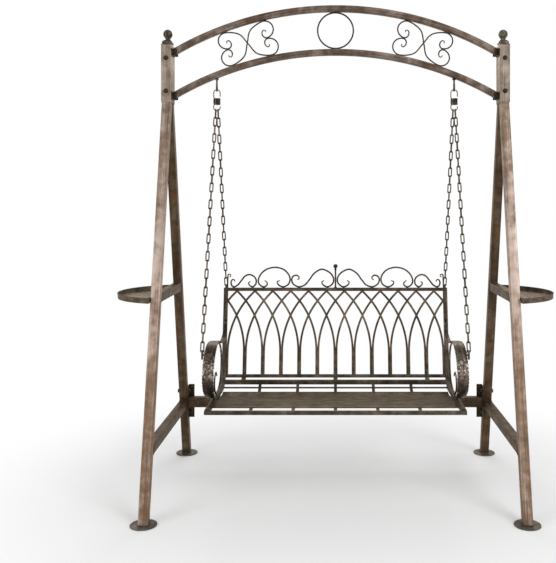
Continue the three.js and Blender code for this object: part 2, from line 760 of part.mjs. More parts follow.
function leastSpringGap(points) {
	const apart = coilStations / 2;
	let least = Infinity;
	points.forEach((point, i) => {
		points.slice(i + apart).forEach((other) => {
			least = Math.min(least, point.distanceTo(other) - springWire);
		});
	});
	return least;
}

const springPath = springPoints();
console.log(`least gap of a spring to itself: ${leastSpringGap(springPath).toFixed(2)} mm`);

// The wire's first section axis points away from the coil's middle line
function springNormals(points) {
	return points.map(({ x, y, z }) => {
		const hook = Math.abs(y) < gap;
		return hook ? axisY.clone() : new THREE.Vector3(x, y, 0).normalize();
	});
}

for (const [side, sign] of sides) {
	const path = new Run(springPath, springNormals(springPath));
	const spring = sweep(polygon(springWire, springSides), path);
	add(bench, `spring_${side}`, spring, chainMetal, [sign * hangerPlace, 0, 0]);
}

// Chains: long links, each turned a quarter from the one before
function linkGeometry(length) {
	const radius = (linkWidth - chainWire) / 2 / Math.cos(Math.PI / linkStations);
	const stretch = (length - chainWire) / 2 - radius;
	const link = new THREE.TorusGeometry(radius, chainWire / 2, chainSides, linkStations)
		.rotateZ(Math.PI / linkStations).rotateX(Math.PI / 2);
	const places = link.attributes.position;
	for (let i = 0; i < places.count; i += 1) {
		places.setZ(i, places.getZ(i) + Math.sign(places.getZ(i)) * stretch);
	}
	return link;
}

// From the spring's lower hook at `top` to the lug at `bottom`, whose wire runs along `crown`
function chainGeometry(top, bottom, crown) {
	const along = bottom.clone().sub(top);
	const length = along.length();
	const count = Math.round(length / linkPitch);
	along.normalize();
	const above = springWire / 2 + gap + chainWire / 2;
	const below = (lugWire / 2 + gap + chainWire / 2) / along.clone().cross(crown).length();
	const lap = chainWire - weld;
	const bend = (length + above + below + (count - 1) * lap) / count; // between a link's two bends
	const up = along.clone().negate();
	const across = axisX.clone().addScaledVector(up, -axisX.dot(up)).normalize();
	const turn = new THREE.Matrix4().makeBasis(across, up.clone().cross(across), up);
	return join(Array.from({ length: count }, (_, i) => {
		const place = top.clone().addScaledVector(along, -above + bend / 2 + i * (bend - lap));
		return linkGeometry(bend + chainWire).rotateZ(i % 2 ? 0 : Math.PI / 2)
			.applyMatrix4(turn.clone().setPosition(place));
	}));
}

// Side bars: from the front rail along the seat, up the back, ending in a chain lug and a curled tip
const barTop = backHeight + backRailSection / 2; // along the back from the bottom rail
const backPoint = (rise, forward = 0, x = 0) => new THREE.Vector3(x, backFootPlace, backFootLevel)
	.addScaledVector(backUp, rise).addScaledVector(backFront, forward);

function sideBarPath() {
	const turnLength = barBendRadius * Math.tan((Math.PI / 2 - backLean) / 2);
	const bend = arcPoints(backCorner - turnLength, seatBarLevel + barBendRadius, barBendRadius,
		-Math.PI / 2, -backLean, barBendSteps).map(([y, z]) => sidePoint(y, z));
	return new Run([sidePoint(frontRailBack + gap, seatBarLevel), ...bend, backPoint(barTop)], axisX);
}

function topLugGeometry() {
	const half = lugSpan / 2;
	const points = [[-half, -lugSeat], [-half, topLugRise], [half, topLugRise], [half, -lugSeat]]
		.map(([forward, rise]) => backPoint(barTop + rise, forward));
	return sweep(polygon(lugWire, wireSides), new Run(points, axisX));
}

function tipGeometry(sign) {
	const inner = -sign * tipPlace;
	const curl = arcPoints(inner - sign * tipCurl, barTop + tipRise, tipCurl, sign > 0 ? 0 : Math.PI,
		sign > 0 ? tipSweep : Math.PI - tipSweep, tipSteps);
	const points = [[inner, barTop - lugSeat], ...curl].map(([x, rise]) => backPoint(rise, -tipSetback, x));
	return sweep(polygon(tipWire, wireSides), new Run(points, backFront));
}

function sideBarGeometry(sign) {
	const plug = sweep(rectangle(barSection, barSection),
		new Run([backPoint(barTop - barPlug), backPoint(barTop)], axisX));
	const bar = sweep(boxTube(barSection, barSection, barWall), sideBarPath());
	return join([bar, plug, topLugGeometry(), tipGeometry(sign)]);
}

// Seat rails: square tubes across the bench
function crossRailGeometry(section, reach, place, level) {
	const path = new Run([acrossPoint(-reach, level, place), acrossPoint(reach, level, place)], axisY);
	return sweep(boxTube(section, section, railWall), path);
}

for (const [side, sign] of sides) {
	add(bench, `side_bar_${side}`, sideBarGeometry(sign), benchPaint, [sign * benchHalfWidth, 0, 0]);
}
add(bench, 'seat_front_rail', crossRailGeometry(frontRailSection, benchHalfWidth + barSection / 2,
	frontRailPlace, frontRailLevel), benchPaint);
add(bench, 'seat_rear_rail', crossRailGeometry(rearRailSection, uprightInner - gap,
	rearRailPlace, rearRailLevel), benchPaint);

// Seat panel: slats and a narrow strip across curved supports
function seatGeometry() {
	const rear = rearRailPlace - rearRailSection / 2 - gap;
	const front = frontRailBack + gap;
	const row = seatContourShares.map(([along, down]) =>
		sidePoint(THREE.MathUtils.lerp(rear, front, along), seatLevel - seatDip * down));
	const contour = new THREE.CatmullRomCurve3(row, false, 'centripetal');
	const length = contour.getLength();
	const pitch = 2 * benchHalfWidth / (supportCount + 1);
	const supports = Array.from({ length: supportCount }, (_, i) => {
		const x = (i + 1) * pitch - benchHalfWidth;
		const points = contour.getPoints(supportSteps).map((point) => point.clone().setX(x));
		return sweep(rectangle(supportWidth, supportThickness), new Run(points, axisX,
			{ startFace: axisY.clone().negate(), endFace: axisY.clone().negate() }));
	});
	const crossing = (width, distance) => {
		const place = distance / length;
		const heading = contour.getTangentAt(place);
		const rise = (supportThickness + slatThickness) / 2 - slatSeat;
		const upward = new THREE.Vector3(0, heading.z, -heading.y);
		const middle = contour.getPointAt(place).addScaledVector(upward, rise);
		const reach = uprightInner - gap;
		return sweep(rectangle(width, slatThickness),
			new Run([middle.clone().setX(-reach), middle.clone().setX(reach)], heading));
	};
	const slats = Array.from({ length: slatCount }, (_, i) => crossing(slatWidth,
		THREE.MathUtils.lerp(slatRearInset, length - slatFrontInset, i / (slatCount - 1))));
	return join([...supports, crossing(stripWidth, stripInset), ...slats]);
}

add(bench, 'seat_slats', seatGeometry(), seatPaint);

// Back: laid out flat in its own plane, X across, Y up the back and Z towards the front
const back = new THREE.Group();
back.position.set(0, backFootPlace, backFootLevel);
back.rotation.x = Math.PI / 2 - backLean;
bench.add(back);

// The bottom rail stands on the rear seat rail with three stubs
function bottomRailGeometry() {
	const reach = uprightInner - gap;
	const rail = sweep(rectangle(backRailSection, backRailSection),
		new Run([backPoint(0, 0, -reach), backPoint(0, 0, reach)], backFront));
	const foot = rearRailLevel + rearRailSection / 2 + gap;
	const stubs = [-stubBays, 0, stubBays].map((bay) => {
		const x = bay * latticePitch;
		const head = backPoint(0, 0, x);
		return sweep(rectangle(stubWidth, stubThickness),
			new Run([sidePoint(rearRailPlace, foot, x), head], axisX, { startFace: axisZ }));
	});
	return join([rail, ...stubs]);
}

function topRailGeometry() {
	const reach = uprightInner - gap;
	return sweep(rectangle(backRailSection, backRailSection),
		new Run([acrossPoint(-reach, 0, backHeight), acrossPoint(reach, 0, backHeight)], axisZ));
}

// Lattice: flat bars rise in touching pairs, part, and cross each other in pointed arches
const latticeOverlap = weld / 2;
const latticePitch = (uprightInner - gap - latticeOverlap) / latticeHalfBays;
const latticeFoot = backRailSection / 2 + gap;
const latticeTop = backHeight - latticeFoot;

function latticeBarGeometry(pair, direction) {
	const shift = latticeReachBays * latticePitch - latticeBar / 2 + latticeOverlap;
	const rise = latticeTop - latticeSplit;
	const radius = (rise ** 2 + shift ** 2) / (2 * shift);
	const turn = Math.asin(rise / radius);
	const start = pair * latticePitch + latticeBar / 2 - latticeOverlap;
	const bend = arcPoints(start + radius, latticeSplit, radius, Math.PI, Math.PI - turn, latticeSteps);
	const layer = direction * (latticeThickness - weld) / 2;
	const points = [[start, latticeFoot], ...bend]
		.map(([x, y]) => new THREE.Vector3(direction * x, y, layer));
	return sweep(rectangle(latticeThickness, latticeBar),
		new Run(points, axisZ, { startFace: axisY, endFace: axisY }));
}

// The bars at both ends stop at the uprights
function latticeGeometry() {
	const pairs = Array.from({ length: 2 * latticeHalfBays + 1 }, (_, i) => i - latticeHalfBays - 1);
	const bars = pairs.flatMap((pair) => [latticeBarGeometry(pair, -1), latticeBarGeometry(pair, 1)]);
	const spill = 2 * latticePitch;
	const stops = sides.map(([, sign]) => new THREE.BoxGeometry(spill, 2 * backHeight, spill)
		.translate(sign * (uprightInner - gap + spill / 2), 0, 0));
	return cut(join(bars), stops);
}

add(bench, 'back_bottom_rail', bottomRailGeometry(), benchPaint);
add(back, 'back_top_rail', topRailGeometry(), benchPaint);
add(back, 'back_lattice', latticeGeometry(), benchPaint);

// Crest: scrolls and a ball finial standing on the top rail
const crestFoot = backHeight + backRailSection / 2 + gap;

// The smoothed row of a scroll fills its place exactly, so that neighbours keep their distance
function crestScrollGeometry([start, end], height, shares, sign) {
	const row = smooth(shares.map(([along, up]) => new THREE.Vector3(along, up, 0)), crestSteps);
	const { min, max } = new THREE.Box3().setFromPoints(row);
	const foot = crestFoot + crestWire / 2;
	const points = row.map(({ x, y }) => new THREE.Vector3(
		sign * THREE.MathUtils.mapLinear(x, min.x, max.x, start, end),
		THREE.MathUtils.mapLinear(y, min.y, max.y, foot, foot + height), 0));
	return sweep(polygon(crestWire, wireSides), new Run(points, axisZ));
}

function crestFinialGeometry() {
	const middle = crestStemHeight + crestBall / 2;
	const neck = Math.asin(crestStem / crestBall);
	const ball = arcPoints(0, middle, crestBall / 2, neck - Math.PI / 2, Math.PI / 2, ballSteps)
		.slice(0, -1);
	return turned([[0, 0], [crestStem / 2, 0], ...ball, [0, middle + crestBall / 2]], finialSides);
}

const [outerSpan, middleSpan] = crestSpanShares.map((span) => span.map((share) => share * uprightInner));
const innerSpan = [middleSpan[1] - crestWire - gap, (crestStem + crestWire) / 2 + crestClear];
const crestScrolls = [['outer', outerSpan, outerScrollShares], ['middle', middleSpan, middleScrollShares],
	['inner', innerSpan, innerScrollShares]];
for (const [side, sign] of sides) {
	crestScrolls.forEach(([row, span, shares], i) => {
		const scroll = crestScrollGeometry(span, crestHeights[i], shares, sign);
		add(back, `crest_scroll_${row}_${side}`, scroll, benchPaint);
	});
}
add(back, 'crest_finial', crestFinialGeometry(), benchPaint, [0, crestFoot, 0]);

// Arms: a wide band that tapers into a tail along the upright, a scrolled rod inside, a chain lug outside
const uprightFace = (level) => backFootPlace + (level - backFootLevel) * Math.tan(backLean)
	- (barSection / 2 + gap + bandThickness / 2) / Math.cos(backLean);
const armLength = uprightFace(armTail) - armFront;
const armPoint = (along, up, width = 0) => new THREE.Vector3(width, armFront + armLength * along,
	armFoot + (armTail - armFoot) * up);

function bandRow() {
	const [tip, root] = [armTail, armTail - tailRun].map((level) =>
		new THREE.Vector3(tailWidthShare, uprightFace(level), level));
	const points = bandShares.map(([along, up, width]) => armPoint(along, up, width));
	const end = points.pop();
	return [tip, ...smooth([root, ...points], bandSteps), end];
}

// Level of the band above a place on its front half
function bandLevel(row, place) {
	const i = row.findIndex((point, index) => index && point.y <= place && row[index - 1].y > place);
	const share = (place - row[i].y) / (row[i - 1].y - row[i].y);
	return THREE.MathUtils.lerp(row[i].z, row[i - 1].z, share);
}

const lugCrown = armPlace + bandWidth / 2 + lugReach;
const armLugPoint = (sign) => acrossPoint(sign * lugCrown, armLugLevel, armLugPlace);

function armGeometry(sign) {
	const row = bandRow();
	const bandPath = new Run(row.map(({ y, z }) => sidePoint(y, z)), axisX, { widths: row.map(({ x }) => x) });
	const band = sweep(rectangle(bandWidth, bandThickness), bandPath);
	const rest = new THREE.Vector3(0, 0, (bandThickness + rodDiameter) / 2 - weld);
	const top = armPoint(rodTopShare, 0);
	top.z = bandLevel(row, top.y) - rodDiameter / 2;
	const rodPoints = rodShares.map(([along, up]) => armPoint(along, up).add(rest));
	const rod = sweep(polygon(rodDiameter, wireSides), new Run(smooth([top, ...rodPoints], rodSteps), axisX));
	const root = sign * (bandWidth / 2 - lugSeat);
	const crown = sign * (bandWidth / 2 + lugReach);
	const places = [armLugPlace - lugSpan / 2, armLugPlace + lugSpan / 2];
	const lugPoints = [
		sidePoint(places[0], bandLevel(row, places[0]), root), sidePoint(places[0], armLugLevel, crown),
		sidePoint(places[1], armLugLevel, crown), sidePoint(places[1], bandLevel(row, places[1]), root),
	];
	const outward = lugPoints[1].clone().sub(lugPoints[0]).normalize().cross(axisY);
	const lug = sweep(polygon(lugWire, wireSides), new Run(lugPoints, outward));
	const loopPoints = [
		sidePoint(places[0], armLugLevel, crown), sidePoint(places[0], armLugLevel - lugDrop, crown),
		sidePoint(places[1], armLugLevel - lugDrop, crown), sidePoint(places[1], armLugLevel, crown),
	];
	const loop = sweep(polygon(lugWire, wireSides), new Run(loopPoints, axisX));
	return join([band, rod, lug, loop]);
}

for (const [side, sign] of sides) {
	add(bench, `arm_${side}`, armGeometry(sign), armPaint, [sign * armPlace, 0, 0]);
	const spread = chainSideStep + chainWire / 2;
	const rest = coilBottom - springHookDrop - Math.sqrt(springRadius ** 2 - spread ** 2);
	const frontTop = acrossPoint(sign * (hangerPlace + chainSideStep), rest);
	const rearTop = acrossPoint(sign * (hangerPlace - chainSideStep), rest);
	const rearLug = backPoint(barTop + topLugRise, 0, sign * benchHalfWidth);
	add(bench, `chain_front_${side}`, chainGeometry(frontTop, armLugPoint(sign), axisY), chainMetal);
	add(bench, `chain_rear_${side}`, chainGeometry(rearTop, rearLug, backFront), chainMetal);
}

export default model;
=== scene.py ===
import random
from math import acos, asin, atan, cos, exp, hypot, pi, radians, sin, sqrt, tan

import bmesh
import bpy
from mathutils import Matrix, Vector


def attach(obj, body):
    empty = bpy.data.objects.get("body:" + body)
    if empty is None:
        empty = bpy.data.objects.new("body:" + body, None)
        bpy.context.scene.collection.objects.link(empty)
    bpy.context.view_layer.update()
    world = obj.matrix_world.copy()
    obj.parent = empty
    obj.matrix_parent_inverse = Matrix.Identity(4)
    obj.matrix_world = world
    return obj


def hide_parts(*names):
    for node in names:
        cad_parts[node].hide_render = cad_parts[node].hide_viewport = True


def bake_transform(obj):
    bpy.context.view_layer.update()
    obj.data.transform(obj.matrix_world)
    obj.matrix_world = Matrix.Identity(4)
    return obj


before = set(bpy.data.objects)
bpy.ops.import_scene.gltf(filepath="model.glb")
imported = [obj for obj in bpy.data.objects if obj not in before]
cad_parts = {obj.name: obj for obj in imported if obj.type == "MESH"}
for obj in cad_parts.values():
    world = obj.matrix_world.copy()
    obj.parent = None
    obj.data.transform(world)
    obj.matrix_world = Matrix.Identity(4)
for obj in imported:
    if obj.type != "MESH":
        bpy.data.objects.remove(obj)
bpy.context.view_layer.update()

# All sizes below are millimetres, in the same frame as the solids
MM = 0.001
random.seed(7)

GAP = 0.3
SIDES = (("left", -1), ("right", 1))
ENDS = (("front", -1), ("rear", 1))
BOTH = (-1, 1)
X = Vector((1, 0, 0))
Y = Vector((0, 1, 0))
Z = Vector((0, 0, 1))

# Side frames
SIDE = 770
FOOT = 446
LEG = 40
LEG_BEND = 100
CORNER = 3.2
POST_WIDTH, POST_DEPTH = 45, 90
POST_SEAM = 0.3
PLATE_RADIUS, PLATE_THICKNESS = 54, 5
TRAY_RAIL_LEVEL, BRACE_LEVEL = 886, 275
TRAY_RADIUS, TRAY_INSET = 295, 75
TRAY_SCREW, TRAY_SCREWS = 61, (-85, 85)

# Rear crossbar and its brackets
CROSSBAR_LEVEL, CROSSBAR_DEPTH, CROSSBAR_HEIGHT = 284, 40, 50
BRACKET_BOTTOM, BRACKET_TOP = 200.02, 368
BRACKET_PLATE, BRACKET_FLANGE = 4, 28
BRACKET_BOLTS = (230, 343)

# Arches and what is between them
ARCH = 28
ARCH_RADIUS = 1476
ARCH_TOP = 2200
ARCH_SPACING = 200
SOCKET_PLATE = 3
CHEEK_SCREW, CHEEK_REACH, PLATE_SCREW = 9, 17.2, 23.5
POST_RISE, POST_DROP = 28.2, 32.8
BOLT_DROPS = (60, 210)
RING_WIRE = 7.3
SCROLL_WIRE = 6.5
UPPER_SCROLL, LOWER_SCROLL = -413, -394
UPPER_LOBES, LOWER_LOBES = 88.5, 92.5

post_inner = SIDE - POST_WIDTH / 2
arch_end = post_inner - GAP - SOCKET_PLATE - GAP
arch_reach = asin(arch_end / ARCH_RADIUS)
upper_centre = ARCH_TOP - ARCH / 2 - ARCH_RADIUS
lower_centre = upper_centre - ARCH_SPACING


def arch_level(centre, x, radius=ARCH_RADIUS):
    return centre + sqrt(radius ** 2 - x ** 2)


post_top = arch_level(upper_centre, arch_end) + POST_RISE
post_bottom = arch_level(lower_centre, arch_end) - POST_DROP
stub = POST_WIDTH / 2
leg_bend_level = post_bottom - 14
leg_slope = (FOOT - stub) / leg_bend_level
leg_lean = atan(leg_slope)
leg_top = post_top - 14


def leg_axis(level):
    return FOOT - leg_slope * level


# Springs and chains
HANGER = 545
EYE_RADIUS, EYE_WIRE = 11, 7
SPRING_WIRE, SPRING_PITCH, SPRING_TURNS = 4.5, 5.2, 6
CHAIN_WIRE, LINK_WIDTH, LINK_PITCH = 5.5, 18.5, 38.6
LUG_WIRE = 6
CHAIN_APART = 5
eye_level = arch_level(lower_centre, HANGER) - 62.7
spring_radius = 14.75
hook_level = eye_level - EYE_RADIUS + EYE_WIRE / 2 + GAP + SPRING_WIRE / 2
coil_top = hook_level - spring_radius - 24
coil_bottom = coil_top - SPRING_TURNS * SPRING_PITCH
hook_bottom = coil_bottom - 12

# Bench
HALF = 535.5
BAR = 20
BAR_BEND = 97
BAR_LEVEL = 423.5
FRONT_RAIL, FRONT_PLACE = 16, -338
REAR_RAIL = 20
BACK_RAIL = 16
BACK_FOOT = 153.6
BACK_HEIGHT = 413.7
BACK_RISE = 41.3
LUG_RISE, LUG_HALF = 15, 8.5
TIP_RISE, TIP_CURL, TIP_INSET, TIP_REAR = 60, 7, 6, 9
back_lean = radians(10.4)
upright_inner = HALF - BAR / 2
front_rail_back = FRONT_PLACE + FRONT_RAIL / 2
front_level = BAR_LEVEL - 1.6
rear_place = BACK_FOOT - 36
rear_level = BAR_LEVEL + 20
back_foot_level = BAR_LEVEL + BACK_RISE
back_up = Vector((0, sin(back_lean), cos(back_lean)))
back_front = Vector((0, -cos(back_lean), sin(back_lean)))
back_corner = BACK_FOOT - BACK_RISE * tan(back_lean)
bar_top = BACK_HEIGHT + BACK_RAIL / 2

# Seat
SEAT_SINK = 29
SLAT_WIDTH, SLAT_THICKNESS, SLAT_SEAT = 29, 4, 1.2
STRIP_WIDTH, STRIP_INSET = 8, 20
SLATS, SLAT_REAR, SLAT_FRONT = 10, 69.5, 63
SUPPORTS, SUPPORT_DEPTH, SUPPORT_HEIGHT = 5, 14, 6
seat_level = BAR_LEVEL + 7.7

# Back
LATTICE_BAR, LATTICE_LAYER, LATTICE_LAP = 10, 5, 0.6
LATTICE_BEND = 117
CREST_WIRE = 8
BALL_RADIUS, BALL_LEVEL = 10.75, 94.5

# Arms
BAND_WIDTH, BAND_HALF = 49, 2
ROD_WIRE = 9
LEAF_PITCH = 15
LUG_ROOT, LUG_REACH, LOOP_DROP = 21.5, 32.5, 36
ARM_TAIL, ARM_BOLT = 41, 16
arm_place = HALF - 3.5
arm_front = FRONT_PLACE + 8.8
arm_foot = BAR_LEVEL + BAR / 2 + GAP + BAND_HALF
arm_tail = BAR_LEVEL + 319.3
lug_place = FRONT_PLACE + 61.3
lug_level = BAR_LEVEL + 244.3


def back_point(rise, forward=0.0, x=0.0):
    return Vector((x, BACK_FOOT, back_foot_level)) + back_up * rise + back_front * forward


# Paths
def arc(u, v, radius, start, end, steps):
    turns = [start + (end - start) * i / steps for i in range(steps + 1)]
    return [(u + radius * cos(a), v + radius * sin(a)) for a in turns]


def line(start, end, steps):
    """A straight row of points, both ends included."""
    return [tuple(a + (b - a) * k / steps for a, b in zip(start, end)) for k in range(steps + 1)]


def smooth(points, steps):
    """Centripetal curve through all points, with as many steps from each to the next."""
    row = [Vector(p) for p in points]
    row = [row[0] * 2 - row[1]] + row + [row[-1] * 2 - row[-2]]
    out = []
    for i in range(1, len(row) - 2):
        p0, p1, p2, p3 = row[i - 1:i + 3]
        d1 = max(sqrt((p2 - p1).length), 1e-4)
        d0 = max(sqrt((p1 - p0).length), 1e-4)
        d2 = max(sqrt((p3 - p2).length), 1e-4)
        t1 = ((p1 - p0) / d0 - (p2 - p0) / (d0 + d1) + (p2 - p1) / d1) * d1
        t2 = ((p2 - p1) / d1 - (p3 - p1) / (d1 + d2) + (p3 - p2) / d2) * d1
        for k in range(steps):
            t = k / steps
            out.append(p1 + t1 * t + (p2 * 3 - p1 * 3 - t1 * 2 - t2) * t ** 2
                       + (p1 * 2 - p2 * 2 + t1 + t2) * t ** 3)
    out.append(row[-2].copy())
    return out


def rounded(points, radius, steps=4):
    """A row of straight stretches with each corner rounded."""
    row = [Vector(p) for p in points]
    out = [row[0]]
    for a, b, c in zip(row, row[1:], row[2:]):
        before, after = (a - b), (c - b)
        reach = min(radius, before.length / 2, after.length / 2)
        start, end = b + before.normalized() * reach, b + after.normalized() * reach
        for k in range(steps + 1):
            t = k / steps
            out.append(start * (1 - t) ** 2 + b * 2 * t * (1 - t) + end * t ** 2)
    out.append(row[-1])
    return out


def moved(points, x):
    return [Vector(p) + Vector((x, 0, 0)) for p in points]


# Sections: pairs along the side vector and along the rise
def round_section(radius, count=12):
    return [(radius * cos(2 * pi * i / count), radius * sin(2 * pi * i / count)) for i in range(count)]


def box_section(width, height, corner, steps=4):
    out = []
    for qx, qy, start in ((1, 1, 0), (-1, 1, 0.5), (-1, -1, 1), (1, -1, 1.5)):
        u, v = qx * (width / 2 - corner), qy * (height / 2 - corner)
        out += arc(u, v, corner, start * pi, (start + 0.5) * pi, steps)
    return out


# Profiles for lathe: pairs of radius and height
def turned(*rows):
    """A profile closed to the axis at both ends."""
    return [(0, rows[0][1]), *rows, (0, rows[-1][1])]


def dome(radius, height, foot):
    """A button head with a small flat top, seen from its seat outwards."""
    bulge = ((1, 0.16), (0.93, 0.46), (0.74, 0.76), (0.45, 0.95))
    return [(0, foot), (radius * 0.96, foot), *((radius * out, foot + height * up) for out, up in bulge),
            (0, foot + height)]


def walked(row):
    """Length along a row of points, from the first to each."""
    lengths = [0.0]
    for a, b in zip(row, row[1:]):
        lengths.append(lengths[-1] + hypot(*(q - p for p, q in zip(a, b))))
    return lengths


class Shape:
    """Collects verts, faces and a length/round coordinate pair, and becomes one object."""

    def __init__(self):
        self.verts, self.faces, self.uvs = [], [], []

    def grid(self, rings, along, around, closed=False):
        """Faces between rings of as many points, with the lengths along and around them."""
        base = len(self.verts)
        count = len(rings[0])
        for ring in rings:
            self.verts += [tuple(p) for p in ring]
        for i in range(len(rings) if closed else len(rings) - 1):
            near, far = base + i * count, base + (i + 1) % len(rings) * count
            for k in range(count):
                m = (k + 1) % count
                self.faces.append((near + k, near + m, far + m, far + k))
                self.uvs.append(((along[i], around[k]), (along[i], around[k + 1]),
                                 (along[i + 1], around[k + 1]), (along[i + 1], around[k])))

    def fan(self, ring, along=0.0):
        """Closes a ring of points with a flat face."""
        base = len(self.verts)
        self.verts += [tuple(p) for p in ring]
        self.faces.append(tuple(range(base, base + len(ring))))
        middle = sum((Vector(p) for p in ring), Vector()) / len(ring)
        spokes = [(Vector(p) - middle).length for p in ring]
        self.uvs.append(tuple((along + spoke, spoke) for spoke in spokes))

    def ends(self, rings, start=0.0, end=0.0):
        """Closes the first and the last ring, with the lengths at them."""
        self.fan(list(reversed(rings[0])), start)
        self.fan(rings[-1], end)

    def sweep(self, points, side, section, start_face=None, end_face=None, scales=None,
              closed=False, caps=True, shift=0.0):
        """A section along a row of points, mitred at each, with `side` as its first axis."""
        pts = [Vector(p) for p in points]
        last = len(pts) - 1
        legs = [(pts[(i + 1) % len(pts)] - pts[i]).normalized() for i in range(len(pts) if closed else last)]
        rings, along, length = [], [], 0.0
        for i, point in enumerate(pts):
            before = legs[i - 1] if closed or i else legs[0]
            after = legs[i] if closed else legs[min(i, last - 1)]
            face = (before + after).normalized()
            if i == 0 and start_face is not None:
                face = start_face
            if i == last and end_face is not None:
                face = end_face
            s = Vector(side[i] if isinstance(side, list) else side)
            s = (s - face * s.dot(face)).normalized()
            rise = face.cross(s)
            rise /= max(0.3, rise.dot(before.cross(s).normalized()))
            scale = scales[i] if scales else 1.0
            rings.append([point + s * a * scale + rise * b * scale for a, b in section])
            along.append(length + shift)
            if i < last or closed:
                length += (pts[(i + 1) % len(pts)] - point).length
        if closed:
            along.append(length + shift)
        self.grid(rings, along, walked(section + section[:1]), closed)
        if caps and not closed:
            self.ends(rings, along[0], along[-1])
        return self

    def wire(self, points, side, radius, taper=0.0):
        """Round wire whose last stretch at both ends tapers and rounds off."""
        done = walked([Vector(p) for p in points])
        scales = None
        if taper:
            scales = [0.62 + 0.38 * min(1.0, min(d, done[-1] - d) / taper) for d in done]
        return self.sweep(points, side, round_section(radius, 14), scales=scales)

    def lathe(self, profile, centre, axis=Z, count=32):
        """Turns pairs of radius and height round an axis through a centre."""
        axis = Vector(axis).normalized()
        first = axis.orthogonal().normalized()
        second = axis.cross(first)
        turns = [2 * pi * k / count for k in range(count)]
        rings = []
        for radius, height in profile:
            foot, radius = Vector(centre) + axis * height, max(radius, 0.01)
            rings.append([foot + (first * cos(a) + second * sin(a)) * radius for a in turns])
        width = max(r for r, _ in profile) * 2 * pi
        self.grid(rings, walked(profile), [width * k / count for k in range(count + 1)])
        self.ends(rings)
        return self

    def hexagon(self, centre, axis, across, start, end, twist=0.0):
        """A nut with softened edges."""
        axis = Vector(axis).normalized()
        first = axis.orthogonal().normalized()
        second = axis.cross(first)
        corner = across / sqrt(3)
        turns = [twist + pi * k / 3 for k in range(6)]
        rings = []
        for height, share in ((start, 0.95), (start + 0.5, 1.0), (end - 0.8, 1.0), (end, 0.9)):
            foot = Vector(centre) + axis * height
            rings.append([foot + (first * cos(a) + second * sin(a)) * corner * share for a in turns])
        self.grid(rings, [0, 0.5, end - start, end - start + 1], [corner * k for k in range(7)])
        self.ends(rings)

    def bead(self, points, radius, seed, closed=False):
        """A lumpy run of weld metal."""
        rand = random.Random(seed)
        pts = [Vector(p) for p in points]
        scales = [0.8 + 0.4 * rand.random() for _ in pts]
        side = (pts[1] - pts[0]).orthogonal()
        return self.sweep(pts, side, round_section(radius, 8), scales=scales, closed=closed)

    def place(self, matrix):
        self.verts = [tuple(matrix @ Vector(v)) for v in self.verts]

    def build(self, name, body, slot, material, replaced=(), sharp=38, blend=None, reach=None):
        """Makes the object, cut off square at `reach` to the left and right if that is given."""
        mesh = bpy.data.meshes.new(name)
        mesh.from_pydata([[c * MM for c in v] for v in self.verts], [], self.faces)
        layer = mesh.uv_layers.new(name="UVMap")
        flat = [pair for face in self.uvs for pair in face]
        for loop, pair in zip(layer.data, flat):
            loop.uv = (pair[0] * MM, pair[1] * MM)
        mesh.materials.append(material)
        work = bmesh.new()
        work.from_mesh(mesh)
        bmesh.ops.remove_doubles(work, verts=work.verts, dist=2e-6)
        for side in (1, -1) if reach else ():
            geometry = [*work.verts, *work.edges, *work.faces]
            cutting = bmesh.ops.bisect_plane(work, geom=geometry, plane_co=(side * reach * MM, 0, 0),
                                             plane_no=(side, 0, 0), clear_outer=True)
            rim = [e for e in cutting["geom_cut"] if isinstance(e, bmesh.types.BMEdge)]
            bmesh.ops.holes_fill(work, edges=rim, sides=0)
        bmesh.ops.recalc_face_normals(work, faces=work.faces)
        limit = radians(sharp)
        for edge in work.edges:
            edge.smooth = len(edge.link_faces) != 2 or edge.calc_face_angle(0.0) < limit
        for face in work.faces:
            face.smooth = True
        work.to_mesh(mesh)
        work.free()
        obj = bpy.data.objects.new(name, mesh)
        bpy.context.scene.collection.objects.link(obj)
        if blend:
            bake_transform(obj)
        else:
            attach(obj, body)
        if replaced:
            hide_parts(*replaced)


# Materials
class Nodes:
    """Fills the emptied node tree of a material or a world."""

    def __init__(self, owner):
        owner.use_nodes = True
        self.tree = owner.node_tree
        self.tree.nodes.clear()

    def add(self, kind, inputs=None, **settings):
        """A node, with outputs, numbers or colours on its inputs."""
        made = self.tree.nodes.new("ShaderNode" + kind)
        for key, value in settings.items():
            setattr(made, key, value)
        for key, value in (inputs or {}).items():
            socket = made.inputs[key]
            if isinstance(value, bpy.types.NodeSocket):
                self.tree.links.new(value, socket)
            elif socket.type == "RGBA":
                socket.default_value = (*value, 1.0)
            else:
                socket.default_value = value
        return made

    def maths(self, operation, a, b=None, clamp=False):
        inputs = {0: a} if b is None else {0: a, 1: b}
        return self.add("Math", inputs, operation=operation, use_clamp=clamp).outputs[0]

    def times(self, a, b):
        return self.maths("MULTIPLY", a, b)

    def mix(self, factor, a, b):
        return self.add("Mix", {"Factor": factor, 6: a, 7: b}, data_type="RGBA").outputs[2]

    def ramp(self, value, low, high, **settings):
        inputs = {"Value": value, "From Min": low, "From Max": high}
        return self.add("MapRange", inputs, **settings).outputs["Result"]

    def seen(self):
        """One for camera, glossy and transmission rays."""
        rays = self.add("LightPath").outputs
        shown = self.maths("MAXIMUM", rays["Is Camera Ray"], rays["Is Glossy Ray"])
        return self.maths("MAXIMUM", shown, rays["Is Transmission Ray"])


COPPER = (0.24, 0.095, 0.035)
OLIVE = (0.115, 0.112, 0.072)
TINT = (0.8, 0.66, 0.52)
BEVEL_RADIUS, BUMP_DEPTH = 0.0035, 0.0012


